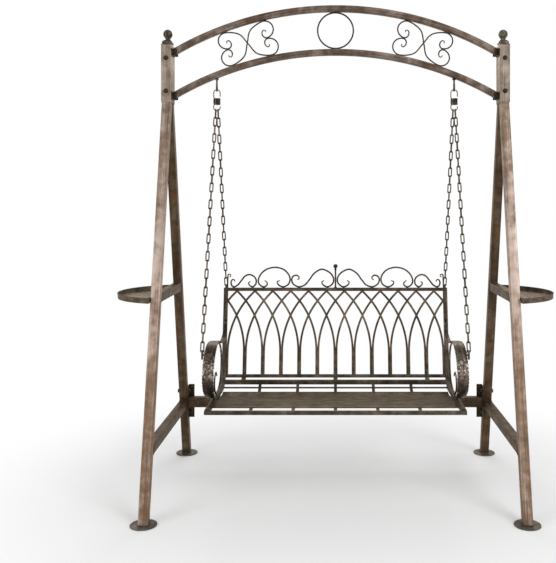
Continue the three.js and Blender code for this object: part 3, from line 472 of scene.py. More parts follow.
def patina(name, deep, middle, light, streak=(3.0, 260.0), strength=0.5, mottle=26.0, rough=(0.34, 0.6),
           metal=0.45, edge_wear_and_sheen=0.35, stops=None, highlight_band=None, olive=0.0, copper=0.0, edge_span=(0.03, 0.2)):
    """Brushed antique enamel: a dark ground with lighter brushed streaks, blotches, and lighter edges, which
    are rubbed paint and on the arms also painted highlights on the relief.

    `stops` are pairs of a level in metres and a middle tone; the stretch of levels for painted highlights
    holds bright spots that stand in for glints on the relief, with their tone and strength.
    """
    mat = bpy.data.materials.new(name)
    nodes = Nodes(mat)
    maths, times, mix, ramp = nodes.maths, nodes.times, nodes.mix, nodes.ramp
    place = nodes.add("TexCoord").outputs
    brushed = nodes.add("Mapping", {"Vector": place["UV"], "Scale": (*streak, 1.0)}).outputs["Vector"]

    def cloud(scale, detail, source=place["Object"], roughness=0.6, distortion=0.0):
        return nodes.add("TexNoise", {"Vector": source, "Scale": scale, "Detail": detail,
                                      "Roughness": roughness, "Distortion": distortion}).outputs["Fac"]

    streaks = cloud(1.0, 5, brushed, 0.7, 0.3)
    broad = cloud(6.5, 3)
    blotch = cloud(mottle, 5, roughness=0.65)
    speck = cloud(520.0, 3)
    body = maths("ADD", times(ramp(streaks, 0.3, 0.7), strength),
                 times(ramp(blotch, 0.28, 0.72), 1.0 - strength))
    body = maths("ADD", body, times(maths("SUBTRACT", broad, 0.5), 0.9), clamp=True)
    level = nodes.add("SeparateXYZ", {0: place["Object"]}).outputs["Z"]
    if stops:
        low, high = stops[0][0], stops[-1][0]
        band = nodes.add("ValToRGB", {"Fac": ramp(level, low, high)})
        colours = band.color_ramp
        colours.interpolation = "EASE"
        for i, (height, colour) in enumerate(stops):
            share = (height - low) / (high - low)
            stop = colours.elements[i] if i < 2 else colours.elements.new(share)
            stop.position = share
            stop.color = (*colour, 1.0)
        middle = band.outputs["Color"]
    tone = mix(ramp(body, 0.12, 0.55), deep, middle)
    tone = mix(ramp(body, 0.5, 0.98), tone, light)
    # Painted highlights: bright spots over a stretch of levels that stand in for glints on the relief
    if highlight_band:
        low, high, highlight_tone, amount = highlight_band
        half = (high - low) / 2
        inside = maths("SUBTRACT", half, maths("ABSOLUTE", maths("SUBTRACT", level, low + half)))
        highlight_patch = times(ramp(inside, 0, half), ramp(cloud(95.0, 3), 0.52, 0.62))
        tone = mix(times(highlight_patch, amount), tone, highlight_tone)
    if copper:
        tone = mix(times(ramp(cloud(17.0, 4), 0.5, 0.72), copper), tone, COPPER)
    if olive:
        tone = mix(times(ramp(cloud(11.0, 3), 0.48, 0.75), olive), tone, OLIVE)
    bevel = nodes.add("Bevel", {"Radius": BEVEL_RADIUS}, samples=6).outputs[0]
    normal = nodes.add("NewGeometry").outputs["Normal"]
    turn = nodes.add("VectorMath", {0: bevel, 1: normal}, operation="DOT_PRODUCT").outputs["Value"]
    # Lighter edges: rubbed paint, and with the arms' strong setting also painted highlights along the leaf
    # relief
    rubbed_and_sheen = times(ramp(maths("SUBTRACT", 1.0, turn), *edge_span), ramp(cloud(60.0, 4), 0.35, 0.62))
    tone = mix(times(rubbed_and_sheen, edge_wear_and_sheen), tone, tuple(min(1.0, c * 1.45 + 0.03) for c in light))
    tone = mix(times(ramp(speck, 0.6, 0.78), 0.28), tone, tuple(c * 0.4 for c in deep))
    grain = maths("ADD", times(streaks, 0.6), times(blotch, 0.4))
    gloss = nodes.add("MapRange", {"Value": grain, "From Min": 0.3, "From Max": 0.7,
                                   "To Min": rough[1], "To Max": rough[0]}).outputs["Result"]
    relief = maths("ADD", times(streaks, 0.7), maths("ADD", times(blotch, 0.5), times(speck, 0.16)))
    hammer = nodes.add("Bump", {"Height": relief, "Strength": 0.35, "Distance": BUMP_DEPTH})
    surface = nodes.add("BsdfPrincipled", {
        "Base Color": tone, "Metallic": metal, "Roughness": gloss, "Normal": hammer.outputs["Normal"],
        "Specular IOR Level": 0.22, "Specular Tint": TINT, "Coat Weight": 0.03, "Coat Roughness": 0.3})
    nodes.add("OutputMaterial", {"Surface": surface.outputs["BSDF"]})
    return mat


# The front and rear legs share one finish, painted as two copies: the front copy lighter as lit, with its
# stops lightest about a metre up, and the rear copy darker as painted shade
leg_front_lit_paint = patina(
    "leg_front_lit_enamel", (0.12, 0.075, 0.05), (0.3, 0.22, 0.17), (0.5, 0.42, 0.36), (2.2, 170.0), 0.65,
    copper=0.25, stops=(
        (0.0, (0.18, 0.112, 0.072)), (0.55, (0.25, 0.167, 0.115)), (0.95, (0.44, 0.345, 0.29)),
        (1.25, (0.38, 0.3, 0.25)), (1.45, (0.22, 0.16, 0.122)), (1.8, (0.19, 0.142, 0.107))))
leg_rear_shaded_paint = patina(
    "leg_rear_shaded_enamel", (0.034, 0.02, 0.011), (0.078, 0.05, 0.029), (0.17, 0.13, 0.09), (2.2, 170.0), 0.6,
    olive=0.4, copper=0.3)
post_paint = patina(
    "post_enamel", (0.1, 0.074, 0.055), (0.228, 0.18, 0.145), (0.37, 0.31, 0.26), (2.0, 150.0), 0.6,
    edge_wear_and_sheen=0.15)
rail_paint = patina(
    "rail_enamel", (0.018, 0.011, 0.006), (0.05, 0.033, 0.021), (0.12, 0.088, 0.06), (2.6, 150.0), 0.6,
    olive=0.3, copper=0.35)
arch_paint = patina(
    "arch_enamel", (0.045, 0.029, 0.02), (0.115, 0.083, 0.062), (0.29, 0.245, 0.215), (3.4, 220.0), 0.6,
    copper=0.15)
dark_iron = patina(
    "dark_iron", (0.01, 0.006, 0.004), (0.032, 0.02, 0.013), (0.1, 0.072, 0.052), (6.0, 90.0), 0.3, 60.0,
    edge_wear_and_sheen=0.3)
cap_paint = patina(
    "cap_enamel", (0.024, 0.021, 0.015), (0.085, 0.076, 0.058), (0.27, 0.255, 0.22), (8.0, 60.0), 0.3, 75.0,
    rough=(0.18, 0.42), edge_wear_and_sheen=0.5)
plate_paint = patina(
    "plate_enamel", (0.03, 0.026, 0.02), (0.085, 0.078, 0.062), (0.19, 0.175, 0.14), (6.0, 40.0), 0.3, 48.0,
    edge_wear_and_sheen=0.45)
wire_metal = patina(
    "wire_bronze", (0.018, 0.012, 0.008), (0.05, 0.036, 0.025), (0.14, 0.11, 0.082), (9.0, 120.0), 0.4, 70.0,
    edge_wear_and_sheen=0.25)
chain_bronze = patina(
    "chain_bronze", (0.016, 0.012, 0.008), (0.055, 0.045, 0.032), (0.2, 0.175, 0.14), (20.0, 120.0), 0.35,
    90.0, metal=0.6, rough=(0.25, 0.48), edge_wear_and_sheen=0.3, copper=0.3)
bench_paint = patina(
    "bench_enamel", (0.02, 0.014, 0.009), (0.06, 0.046, 0.032), (0.19, 0.16, 0.12), (4.5, 200.0), 0.55,
    olive=0.3)
lattice_paint = patina(
    "lattice_enamel", (0.024, 0.017, 0.011), (0.075, 0.057, 0.04), (0.22, 0.18, 0.135), (5.0, 260.0), 0.55,
    olive=0.2, copper=0.35)
seat_paint = patina(
    "seat_enamel", (0.02, 0.014, 0.007), (0.056, 0.042, 0.024), (0.13, 0.105, 0.07), (3.2, 240.0), 0.6,
    rough=(0.34, 0.58), olive=0.3, copper=0.2)
# The arms carry painted light: bright highlight spots between 0.54 and 0.655 m, strong light edges on the
# leaf relief as highlights, and stops lighter at the middle levels where the curled band faces the lamps,
# darker towards the top and the bottom
arm_paint = patina(
    "arm_enamel", (0.005, 0.003, 0.002), (0.02, 0.014, 0.009), (0.2, 0.16, 0.13), (9.0, 80.0), 0.6, 70.0,
    rough=(0.18, 0.4), edge_wear_and_sheen=0.9, olive=0.3, edge_span=(0.004, 0.06),
    highlight_band=(0.54, 0.655, (0.62, 0.53, 0.47), 0.95), stops=(
        (0.46, (0.009, 0.006, 0.003)), (0.5, (0.025, 0.016, 0.011)), (0.56, (0.06, 0.042, 0.032)),
        (0.6, (0.08, 0.062, 0.05)), (0.635, (0.035, 0.027, 0.018)), (0.68, (0.016, 0.012, 0.007))))
tray_paint = patina(
    "tray_enamel", (0.03, 0.021, 0.014), (0.095, 0.073, 0.054), (0.25, 0.2, 0.155), (4.0, 120.0), 0.45,
    edge_wear_and_sheen=0.6, olive=0.25, copper=0.25)

# Legs, posts, level members
tube = box_section(LEG, LEG, CORNER)
foot = PLATE_THICKNESS + GAP
half_tube = LEG / 2 / cos(leg_lean)
bend_level = leg_bend_level + LEG_BEND * tan(leg_lean / 2)
bend = arc(stub + LEG_BEND, bend_level, LEG_BEND, pi + leg_lean, pi, 10)
leg_row = [(leg_axis(foot), foot), *bend, (stub, leg_top)]
PLATE = turned((PLATE_RADIUS - 1.2, 0.02), (PLATE_RADIUS, 1.2), (PLATE_RADIUS, 3.2),
               (PLATE_RADIUS - 0.6, 4.4), (PLATE_RADIUS - 2, PLATE_THICKNESS),
               (PLATE_RADIUS - 9, PLATE_THICKNESS))


def build_leg(side, centre, end, direction):
    """A bent tube on a round plate, with the weld round its foot."""
    leg = Shape().sweep([(centre, direction * y, z) for y, z in leg_row], X, tube, start_face=Z,
                        shift=900 * random.random())
    # Front legs take the lit copy of the leg finish, rear legs the copy darkened as painted shade
    paint = leg_front_lit_paint if direction < 0 else leg_rear_shaded_paint
    leg.build(f"tube_{end}_{side}", "frame", "frame_tube", paint, [f"leg_{end}_{side}"])
    plate = Shape().lathe(PLATE, (centre, direction * FOOT, 0), count=64)
    plate.build(f"plate_{end}_{side}", "frame", "foot_metal", plate_paint, [f"foot_plate_{end}_{side}"])
    ring = box_section(LEG + 2, (LEG + 2) / cos(leg_lean), CORNER + 1, 3)
    run = []
    for a, b in zip(ring, ring[1:] + ring[:1]):
        pieces = max(1, int(hypot(b[0] - a[0], b[1] - a[1]) / 3))
        run += line(a, b, pieces)[:-1]
    weld = [(centre + x, direction * leg_axis(foot) + y, PLATE_THICKNESS + 0.8) for x, y in run]
    Shape().bead(weld, 2.4, 11, closed=True).build(
        f"foot_weld_{end}_{side}", "frame", "foot_metal", plate_paint, sharp=80)


def build_post(side, centre):
    """Two square sleeves side by side, with a seam between them."""
    shell = Shape()
    row = line((centre, 0, post_bottom), (centre, 0, post_top), 8)
    for direction in BOTH:
        offset = direction * (stub - POST_SEAM / 2)
        sleeve = [(x, y + offset) for x, y in box_section(POST_WIDTH, POST_WIDTH - POST_SEAM, CORNER)]
        shell.sweep(row, X, sleeve, caps=False, shift=400 * random.random())
        lip = [(x, y + offset) for x, y in box_section(POST_WIDTH - 4, POST_WIDTH - 4 - POST_SEAM, 1.5)]
        for level, inner in ((post_bottom, post_bottom + 20), (post_top, post_top - 12)):
            rings = [[Vector((centre + a, b, height)) for a, b in section]
                     for section, height in ((sleeve, level), (lip, level), (lip, inner))]
            shell.grid(rings, [0, 2, 30], [4.0 * k for k in range(len(sleeve) + 1)])
            if level == post_top:
                shell.fan(rings[-1])
    shell.build(f"box_post_{side}", "frame", "frame_tube", post_paint, [f"post_{side}"])


def build_level_tube(name, side, centre, level):
    """A level tube between the legs, with a weld run at each end."""
    reach = leg_axis(level) - half_tube - GAP / cos(leg_lean)
    slants = [Vector((0, cos(leg_lean), end * sin(leg_lean))) for end in BOTH]
    bar = Shape().sweep(line((centre, -reach, level), (centre, reach, level), 6), X, tube,
                        start_face=slants[0], end_face=slants[1], shift=500 * random.random())
    bar.build(f"{name}_tube_{side}", "frame", "frame_tube", rail_paint, [f"{name}_{side}"])
    for end, direction in ENDS:
        run = [(centre + a, direction * (leg_axis(level + b) - half_tube + 0.2), level + b)
               for a, b in box_section(LEG + 1, LEG + 1, CORNER, 3)]
        Shape().bead(run, 1.7, 5, closed=True).build(
            f"{name}_weld_{end}_{side}", "frame", "frame_tube", rail_paint, sharp=80)


for side, sign in SIDES:
    for end, direction in ENDS:
        build_leg(side, sign * SIDE, end, direction)
    build_post(side, sign * SIDE)
    build_level_tube("tray_rail", side, sign * SIDE, TRAY_RAIL_LEVEL)
    build_level_tube("side_brace", side, sign * SIDE, BRACE_LEVEL)

# Post caps: a lid, a moulded collar on a plinth, a neck and a ball
LID = ((42.6, 0), (44.6, 0.5), (45, 1.4), (45, 3.0), (44.2, 3.9), (42, 4.1))
COLLAR = ((38, 3.8), (38, 8.6), (40, 9.2), (44, 9.5), (46.2, 10.2), (47, 12), (47, 14.4), (45.6, 15.4),
          (45, 16.2), (45.4, 17), (46, 18), (44.6, 20), (40.5, 22), (36, 24), (33, 26.2), (32, 27))
NECK = [(0, 26.4), (15.2, 26.6), (14.6, 28), (12.2, 29.4), (11.0, 31.2), (10.8, 33.4), (11.4, 34.6),
        (13.0, 35.2), (13.6, 36.0), (13.0, 37.0)]
CAP_BALL, CAP_BALL_LEVEL, CAP_BALL_FOOT = 21.5, 55.5, 12.4


def stack(cap, centre, base, profile, depth, corner):
    """Square mouldings from pairs of a width and a rise."""
    rings = []
    for width, rise in profile:
        section = box_section(width, width + depth, min(corner, width / 2 - 0.5))
        rings.append([Vector((centre + a, b, base + rise)) for a, b in section])
    cap.grid(rings, walked(profile), [5.0 * k for k in range(len(rings[0]) + 1)])
    cap.ends(rings)


for side, sign in SIDES:
    centre, base = sign * SIDE, post_top + GAP
    cap = Shape()
    stack(cap, centre, base, LID, POST_DEPTH - POST_WIDTH, CORNER)
    stack(cap, centre, base, COLLAR, 0, 3.0)
    ball = arc(0, CAP_BALL_LEVEL, CAP_BALL, asin(CAP_BALL_FOOT / CAP_BALL) - pi / 2, pi / 2, 18)
    cap.lathe(NECK + ball, (centre, 0, base), count=40)
    for direction in BOTH:
        plug = [(x, y + direction * stub) for x, y in box_section(LEG, LEG, 2)]
        cap.sweep([(centre, 0, base - 8.7), (centre, 0, base + 0.5)], X, plug)
    cap.build(f"cap_{side}", "frame", "foot_metal", cap_paint, [f"post_cap_{side}"], sharp=50)

# Bolts through the posts: domed head on a washer in front, nut on a washer behind
RAISED_WASHER = turned((10.6, 0.05), (11, 0.5), (10.6, 1.3))
for side, sign in SIDES:
    for name, drop in zip(("upper", "lower"), BOLT_DROPS):
        front, rear = [(sign * SIDE, place, post_top - drop) for place in (-POST_DEPTH / 2, POST_DEPTH / 2)]
        bolt = Shape().lathe(dome(9.4, 6.4, 0.9), front, -Y, 28)
        bolt.lathe(RAISED_WASHER, front, -Y, 28)
        bolt.lathe(RAISED_WASHER, rear, Y, 28)
        bolt.hexagon(rear, Y, 15.5, 1.3, 6.6, 0.3)
        bolt.lathe(turned((4.4, 6), (4.4, 6.9), (3.8, 7.4)), rear, Y, 20)
        bolt.build(f"bolt_{name}_{side}", "frame", "dark_fittings", dark_iron, [f"post_bolt_{name}_{side}"])

# Arched tubes, and the sockets of their ends: solids with rubbed edges and a screw through each cheek
ROWS = (("upper", upper_centre), ("lower", lower_centre))
for row, centre in ROWS:
    pts = [(x, 0, z) for x, z in arc(0, centre, ARCH_RADIUS, pi / 2 + arch_reach, pi / 2 - arch_reach, 96)]
    Shape().sweep(pts, Y, box_section(ARCH, ARCH, 2.6), start_face=X, end_face=X).build(
        f"bow_{row}", "frame", "arch_tube", arch_paint, [f"{row}_arch"])

for row, centre in ROWS:
    for side, sign in SIDES:
        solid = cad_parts[f"{row}_arch_socket_{side}"]
        solid.data.materials.clear()
        solid.data.materials.append(dark_iron)
        solid.modifiers.new("weld", "WELD").merge_threshold = 1e-5
        edge = solid.modifiers.new("edges", "BEVEL")
        edge.width = 0.0007
        edge.segments = 2
        edge.limit_method = "ANGLE"
        level = arch_level(centre, arch_end)
        plate = sign * (post_inner - GAP - SOCKET_PLATE)
        screw = Shape()
        for direction in BOTH:
            cheek = (sign * (arch_end - CHEEK_SCREW), direction * CHEEK_REACH, level)
            screw.lathe(dome(5.2, 3.2, 0), cheek, (0, direction, 0), 20)
        for direction in BOTH:
            screw.lathe(dome(4.2, 2.8, 0), (plate, direction * PLATE_SCREW, level), (-sign, 0, 0), 20)
        screw.build(f"socket_screws_{row}_{side}", "frame", "dark_fittings", dark_iron)

# Ring between the arches, welded at its top and bottom
ring_level = ARCH_TOP - (ARCH + ARCH_SPACING) / 2
ring_radius = (ARCH_SPACING - ARCH - 2 * GAP - RING_WIRE) / 2
loop = [(x, 0, ring_level + z) for x, z in round_section(ring_radius, 96)]
circle = Shape().sweep(loop, Y, round_section(RING_WIRE / 2, 14), closed=True)
for direction in BOTH:
    z = ring_level + direction * (ring_radius + 3.2)
    for depth in BOTH:
        circle.bead([(x, depth * 2.1, z) for x in (-5, -3, -1, 1, 3, 5)], 1.7, 3)
circle.build("hoop", "frame", "bench_bar", wire_metal, ["centre_ring"])

# Crossing scrolls between the arches: the lobes of a side touch each other
LOBE_SHARES = [(0, -0.34), (0.01, -0.13), (-0.26, -0.06), (-0.46, -0.36), (-0.42, -0.74), (-0.15, -0.99),
               (0.22, -0.98), (0.7, -0.71), (0.98, -0.2), (0.93, 0.36), (0.6, 0.8), (0, 1)]
LOBE_GAP = 1.2
facet_drop = ARCH_RADIUS * (1 - cos(arch_reach / 16))


def lobe_centre(upper, x, radius):
    reach = ARCH / 2 + GAP + SCROLL_WIRE / 2 + radius
    bow = ARCH_RADIUS + (-reach - facet_drop if upper else reach)
    return Vector((x, arch_level(upper_centre if upper else lower_centre, x, bow)))


def lobe_pair(side):
    """An upper and a lower lobe above each other: centres and their common radius."""
    places = ((True, UPPER_SCROLL + side * UPPER_LOBES), (False, LOWER_SCROLL + side * LOWER_LOBES))
    radius = ARCH_SPACING / 6
    for _ in range(12):
        upper, lower = [lobe_centre(*place, radius) for place in places]
        radius += ((upper - lower).length + LOBE_GAP - SCROLL_WIRE - 2 * radius) / 4
    return [(lobe_centre(*place, radius), radius) for place in places]


def lobe_points(lobe, leaving, turning):
    centre, radius = lobe
    towards = Vector((cos(leaving), sin(leaving)))
    away = Vector((-towards.y, towards.x)) * turning
    return [centre + away * (radius * out) + towards * (radius * up) for out, up in LOBE_SHARES]


def crossing(start, end, start_leaving, end_leaving, turning):
    """A bar that runs from one lobe to the lobe across."""
    first = lobe_points(start, start_leaving, turning)
    second = lobe_points(end, end_leaving, turning)
    a, d = first[-1], second[-1]
    handle = turning * 0.52 * (d - a).length
    b = a + Vector((sin(start_leaving), -cos(start_leaving))) * handle
    c = d + Vector((sin(end_leaving), -cos(end_leaving))) * handle
    middle = [a * (1 - t) ** 3 + b * 3 * t * (1 - t) ** 2 + c * 3 * t * t * (1 - t) + d * t ** 3
              for t in (0.25, 0.5, 0.75)]
    return smooth([(p.x, p.y, 0) for p in first + middle + second[::-1]], 9)


outer, inner = lobe_pair(-1), lobe_pair(1)
tilt, up = asin(-UPPER_SCROLL / ARCH_RADIUS), pi / 2
crossings = (crossing(outer[0], inner[1], up + tilt, tilt - up, 1),
             crossing(outer[1], inner[0], tilt - up, up + tilt, -1))
for side, sign in SIDES:
    scrolls = Shape()
    for points in crossings:
        scrolls.wire([(-sign * p.x, 0, p.y) for p in points], Y, SCROLL_WIRE / 2, taper=40)
    for seed, (spot, _) in enumerate((outer[0], inner[0], outer[1], inner[1])):
        centre, hang = (upper_centre, -1) if seed < 2 else (lower_centre, 1)
        places = [spot.x + (k - 2.5) * 2.4 for k in range(6)]
        row = [(x, arch_level(centre, x) + hang * (ARCH / 2 + 0.5)) for x in places]
        for depth in BOTH:
            scrolls.bead([(-sign * x, depth * 2.0, z) for x, z in row], 1.6, seed)
    for (high, _), (low, _) in (outer, inner):
        middle = (high + low) / 2
        across = Vector((-(high - low).y, (high - low).x)).normalized()
        for depth in BOTH:
            scrolls.bead([(-sign * (middle.x + across.x * k), depth * 1.8, middle.y + across.y * k)
                          for k in (-3, -1.5, 0, 1.5, 3)], 1.5, 31)
    scrolls.build(f"scrollwork_{side}", "frame", "bench_bar", wire_metal, [f"arch_scrolls_{side}"])

# Rear crossbar and its angle brackets
place = leg_axis(CROSSBAR_LEVEL)
angle_inner = SIDE - LEG / 2 - GAP
inner = angle_inner - BRACKET_PLATE
reach = inner - GAP
Shape().sweep(line((-reach, place, CROSSBAR_LEVEL), (reach, place, CROSSBAR_LEVEL), 12), Y,
              box_section(CROSSBAR_DEPTH, CROSSBAR_HEIGHT, CORNER)).build(
    "crossbar", "frame", "frame_tube", rail_paint, ["rear_crossbar"])
back = place + CROSSBAR_DEPTH / 2 + GAP
front = leg_axis(BRACKET_TOP) - LEG / 2
flange = angle_inner - BRACKET_FLANGE
outline = [(angle_inner, front), (angle_inner, back + BRACKET_PLATE), (flange, back + BRACKET_PLATE),
           (flange, back), (inner, back), (inner, front), (angle_inner, front)]
for side, sign in SIDES:
    soft = rounded([(sign * x, y, 0) for x, y in outline], 1.1, 2)[:-1]
    angle = Shape()
    rings = [[Vector((p.x, p.y, z)) for p in soft] for z in (BRACKET_BOTTOM, BRACKET_TOP)]
    angle.grid(rings, [0, 168], [3.0 * k for k in range(len(soft) + 1)])
    angle.ends(rings)
    for level in BRACKET_BOLTS:
        seat = (sign * inner, leg_axis(level), level)
        face = (sign * (SIDE + LEG / 2), leg_axis(level), level)
        angle.lathe(dome(10, 9.6, 1.2), seat, (-sign, 0, 0), 28)
        angle.lathe(turned((11.6, 0), (12, 0.6), (11.6, 1.4)), seat, (-sign, 0, 0), 28)
        angle.lathe(turned((10.6, 0), (11, 0.5), (10.6, 1.3)), face, (sign, 0, 0), 28)
        angle.hexagon(face, (sign, 0, 0), 17.5, 1.3, 8.6, 0.2)
    angle.build(f"angle_{side}", "frame", "dark_fittings", dark_iron, [f"crossbar_bracket_{side}"])

# Side trays: shallow pans with a rolled rim and a stiffening step in the floor
PAN = ((9, 0.05), (2.2, 0.05), (0.6, 0.8), (0.2, 2.4), (0.1, 19), (0.0, 20.5), (-1.6, 21.2), (-2.2, 22.6),
       (-1.7, 24.0), (-0.3, 24.7), (1.3, 24.3), (2.2, 23.2), (2.3, 21.6), (2.2, 5.0), (2.8, 3.2), (4.6, 2.2),
       (12, 2.0), (14, 2.7), (17, 2.7), (19, 2.0))
tray_level = TRAY_RAIL_LEVEL - LEG / 2
tray_middle = SIDE - TRAY_INSET


def pan(sign, inward, rise):
    """The tray's outline, drawn in by a distance: an arc and the chord that closes it."""
    chord = SIDE + LEG / 2 + GAP + inward
    angle = acos((chord - tray_middle) / (TRAY_RADIUS - inward))
    row = arc(tray_middle, 0, TRAY_RADIUS - inward, -angle, angle, 72)
    row += line((chord, row[-1][1]), (chord, row[0][1]), 14)[1:-1]
    return [Vector((sign * x, y, tray_level + rise)) for x, y in row]


for side, sign in SIDES:
    rings = [pan(sign, inward, rise) for inward, rise in PAN]
    dish = Shape()
    dish.grid(rings, [2.0 * k for k in range(len(PAN))], walked(rings[0] + rings[0][:1]))
    dish.uvs = [tuple((v, u) for u, v in face) for face in dish.uvs]
    dish.fan(rings[-1])
    dish.fan(list(reversed(rings[0])))
    dish.build(f"pan_{side}", "frame", "arch_tube", tray_paint, [f"tray_{side}"], sharp=60)
    screw = Shape()
    for place in TRAY_SCREWS:
        under = (sign * (SIDE + TRAY_SCREW), place, tray_level)
        floor = (sign * (SIDE + TRAY_SCREW), place, tray_level + 2)
        screw.lathe(dome(5.5, 3.2, 0), under, -Z, 20)
        screw.lathe(turned((6.8, 0), (7, 0.4), (6.6, 1.0)), floor, Z, 20)
        screw.lathe(dome(4.6, 2.4, 0.9), floor, Z, 20)
    screw.build(f"tray_screws_{side}", "frame", "dark_fittings", dark_iron)

# Eye bolts
arch_under = arch_level(lower_centre, HANGER)
slope = asin(HANGER / ARCH_RADIUS)
crown = arch_under - (ARCH / 2 - 1.6) / cos(slope) + 8 * tan(slope) + GAP
under = arch_under - ARCH / 2 / cos(slope) - 3
shank = eye_level + 12.5
for side, sign in SIDES:
    x = sign * HANGER
    eye = Shape().sweep([(x, a, eye_level + b) for a, b in round_section(EYE_RADIUS, 40)], X,
                        round_section(EYE_WIRE / 2, 14), closed=True)
    stem = turned((5.6, 0), (5.0, 3), (4.2, 7), (4.0, 12), (4.0, crown + 3 - shank))
    eye.lathe(stem, (x, 0, shank), Z, 20)
    eye.hexagon((x, 0, crown), Z, 13.8, 0, 7.0, 0.4)
    eye.hexagon((x, 0, under), Z, 13.8, -5.2, 0.0, 0.1)
    eye.lathe(turned((9.6, 0), (10, 0.5), (9.6, 1.2)), (x, 0, under), Z, 24)
    eye.build(f"hanger_{side}", "frame", "chain_metal", chain_bronze, [f"eye_bolt_{side}"])


# Springs: one wire from hook to hook
def spring_row(x):
    r, per_turn = spring_radius, 30
    hook = hook_level - r
    bow = arc(0, 0, r, 0, pi, 26)
    upper = line((r, coil_top + 7), (r, hook), 4)[:-1] + [(u, hook + v) for u, v in bow]
    upper += line((-r, hook), (-r, coil_top + 4), 4)[1:]
    lower = line((-r, coil_bottom - 4), (-r, hook_bottom), 3) + [(-u, hook_bottom - v) for u, v in bow][1:]
    lower += line((r, hook_bottom), (r, coil_bottom - 7), 3)[1:]
    coil = []
    for i in range(3, SPRING_TURNS * per_turn - 2):
        a = pi + 2 * pi * i / per_turn
        coil.append((r * cos(a), -r * sin(a), coil_top - SPRING_PITCH * i / per_turn))
    return moved([(u, 0, v) for u, v in upper] + coil + [(u, 0, v) for u, v in lower], x)


for side, sign in SIDES:
    row = spring_row(sign * HANGER)
    row = [row[0]] + [(a + b * 2 + c) / 4 for a, b, c in zip(row, row[1:], row[2:])] + [row[-1]]
    across, sides = Y, []
    for i in range(len(row)):
        ahead = (row[min(i + 1, len(row) - 1)] - row[max(i - 1, 0)]).normalized()
        across = (across - ahead * across.dot(ahead)).normalized()
        sides.append(across)
    coil = Shape().sweep(row, sides, round_section(SPRING_WIRE / 2))
    coil.build(f"coil_{side}", "springs", "chain_metal", chain_bronze, [f"spring_{side}"], sharp=60,
               blend=("springs", "bench", (0, 0, (coil_top + 2) * MM), (0, 0, (coil_bottom - 2) * MM)))


# Chains of loose long links
def link_points(length):
    radius = (LINK_WIDTH - CHAIN_WIRE) / 2
    stretch = (length - CHAIN_WIRE) / 2 - radius
    half = [(u, v + stretch) for u, v in arc(0, 0, radius, 0, pi, 14)]
    half += line((-radius, stretch), (-radius, -stretch), 5)[1:-1]
    return half + [(-u, -v) for u, v in half]


def chain(name, top, bottom, crown_side, replaced, seed):
    """Links in turn along and across, from a spring's hook to a lug."""
    rand = random.Random(seed)
    along = bottom - top
    length = along.length
    count = round(length / LINK_PITCH)
    along.normalize()
    above = SPRING_WIRE / 2 + GAP + CHAIN_WIRE / 2
    below = (LUG_WIRE / 2 + GAP + CHAIN_WIRE / 2) / along.cross(crown_side).length
    lap = CHAIN_WIRE + 0.12
    bend = (length + above + below + (count - 1) * lap) / count
    up = -along
    across = (X - up * X.dot(up)).normalized()
    depth = up.cross(across)
    links = Shape()
    for i in range(count):
        place = top + along * (-above + bend / 2 + i * (bend - lap))
        tilt = 0.0 if i in (0, count - 1) else radians(rand.uniform(-5, 5))
        turn = (0 if i % 2 else pi / 2) + tilt
        first = across * cos(turn) + depth * sin(turn)
        row = [place + first * u + up * v for u, v in link_points(bend + CHAIN_WIRE)]
        links.sweep(row, first.cross(up), round_section(CHAIN_WIRE / 2, 10), closed=True,
                    shift=40 * rand.random())
        seam = place + first * (LINK_WIDTH - CHAIN_WIRE) / 2
        links.bead([seam + up * z for z in (-2.6, -0.9, 0.9, 2.6)], CHAIN_WIRE / 2 + 0.12, seed * 100 + i)
    links.build(name, "bench", "chain_metal", chain_bronze, replaced, sharp=60)


# Side bars with the chain lug and curled tip at their top
for side, sign in SIDES:
    x = sign * HALF
    turn = BAR_BEND * tan((pi / 2 - back_lean) / 2)
    bend = arc(back_corner - turn, BAR_LEVEL + BAR_BEND, BAR_BEND, -pi / 2, -back_lean, 24)
    straight = line((front_rail_back + GAP, BAR_LEVEL), (bend[0][0], BAR_LEVEL), 6)[:-1]
    row = [Vector((x, y, z)) for y, z in straight + bend]
    row += line(row[-1], back_point(bar_top, 0, x), 6)[1:]
    bar = Shape().sweep(row, X, box_section(BAR, BAR, 2.2))
    corners = ((-3, -LUG_HALF), (LUG_RISE, -LUG_HALF), (LUG_RISE, LUG_HALF), (-3, LUG_HALF))
    bar.wire(rounded([back_point(bar_top + rise, out, x) for rise, out in corners], 6, 6), X, LUG_WIRE / 2)
    for out in (-LUG_HALF, LUG_HALF):
        collar = [back_point(bar_top + 0.4, out + a, x + b) for a, b in round_section(3.6, 14)]
        bar.bead(collar, 1.2, 21, closed=True)
    inner = -sign * TIP_INSET
    turns = pi * (1 - sign) / 2, pi * (0.5 + sign)
    curl = arc(inner - sign * TIP_CURL, bar_top + TIP_RISE, TIP_CURL, *turns, 30)
    stem = line((inner, bar_top - 3), (inner, bar_top + TIP_RISE), 8)[:-1] + curl
    pts = [back_point(rise, -TIP_REAR, x + u) for u, rise in stem]
    scales = [1.0 - 0.4 * max(0, i - 10) / (len(pts) - 11) for i in range(len(pts))]
    bar.sweep(pts, back_front, round_section(3.25, 14), scales=scales)
    bar.build(f"bench_side_{side}", "bench", "bench_bar", bench_paint, [f"side_bar_{side}"])


# Rails of the seat and back
def level_bar(reach, place, level, side, size, corner):
    row = line((-reach, place, level), (reach, place, level), 12)
    return Shape().sweep(row, side, box_section(size, size, corner))


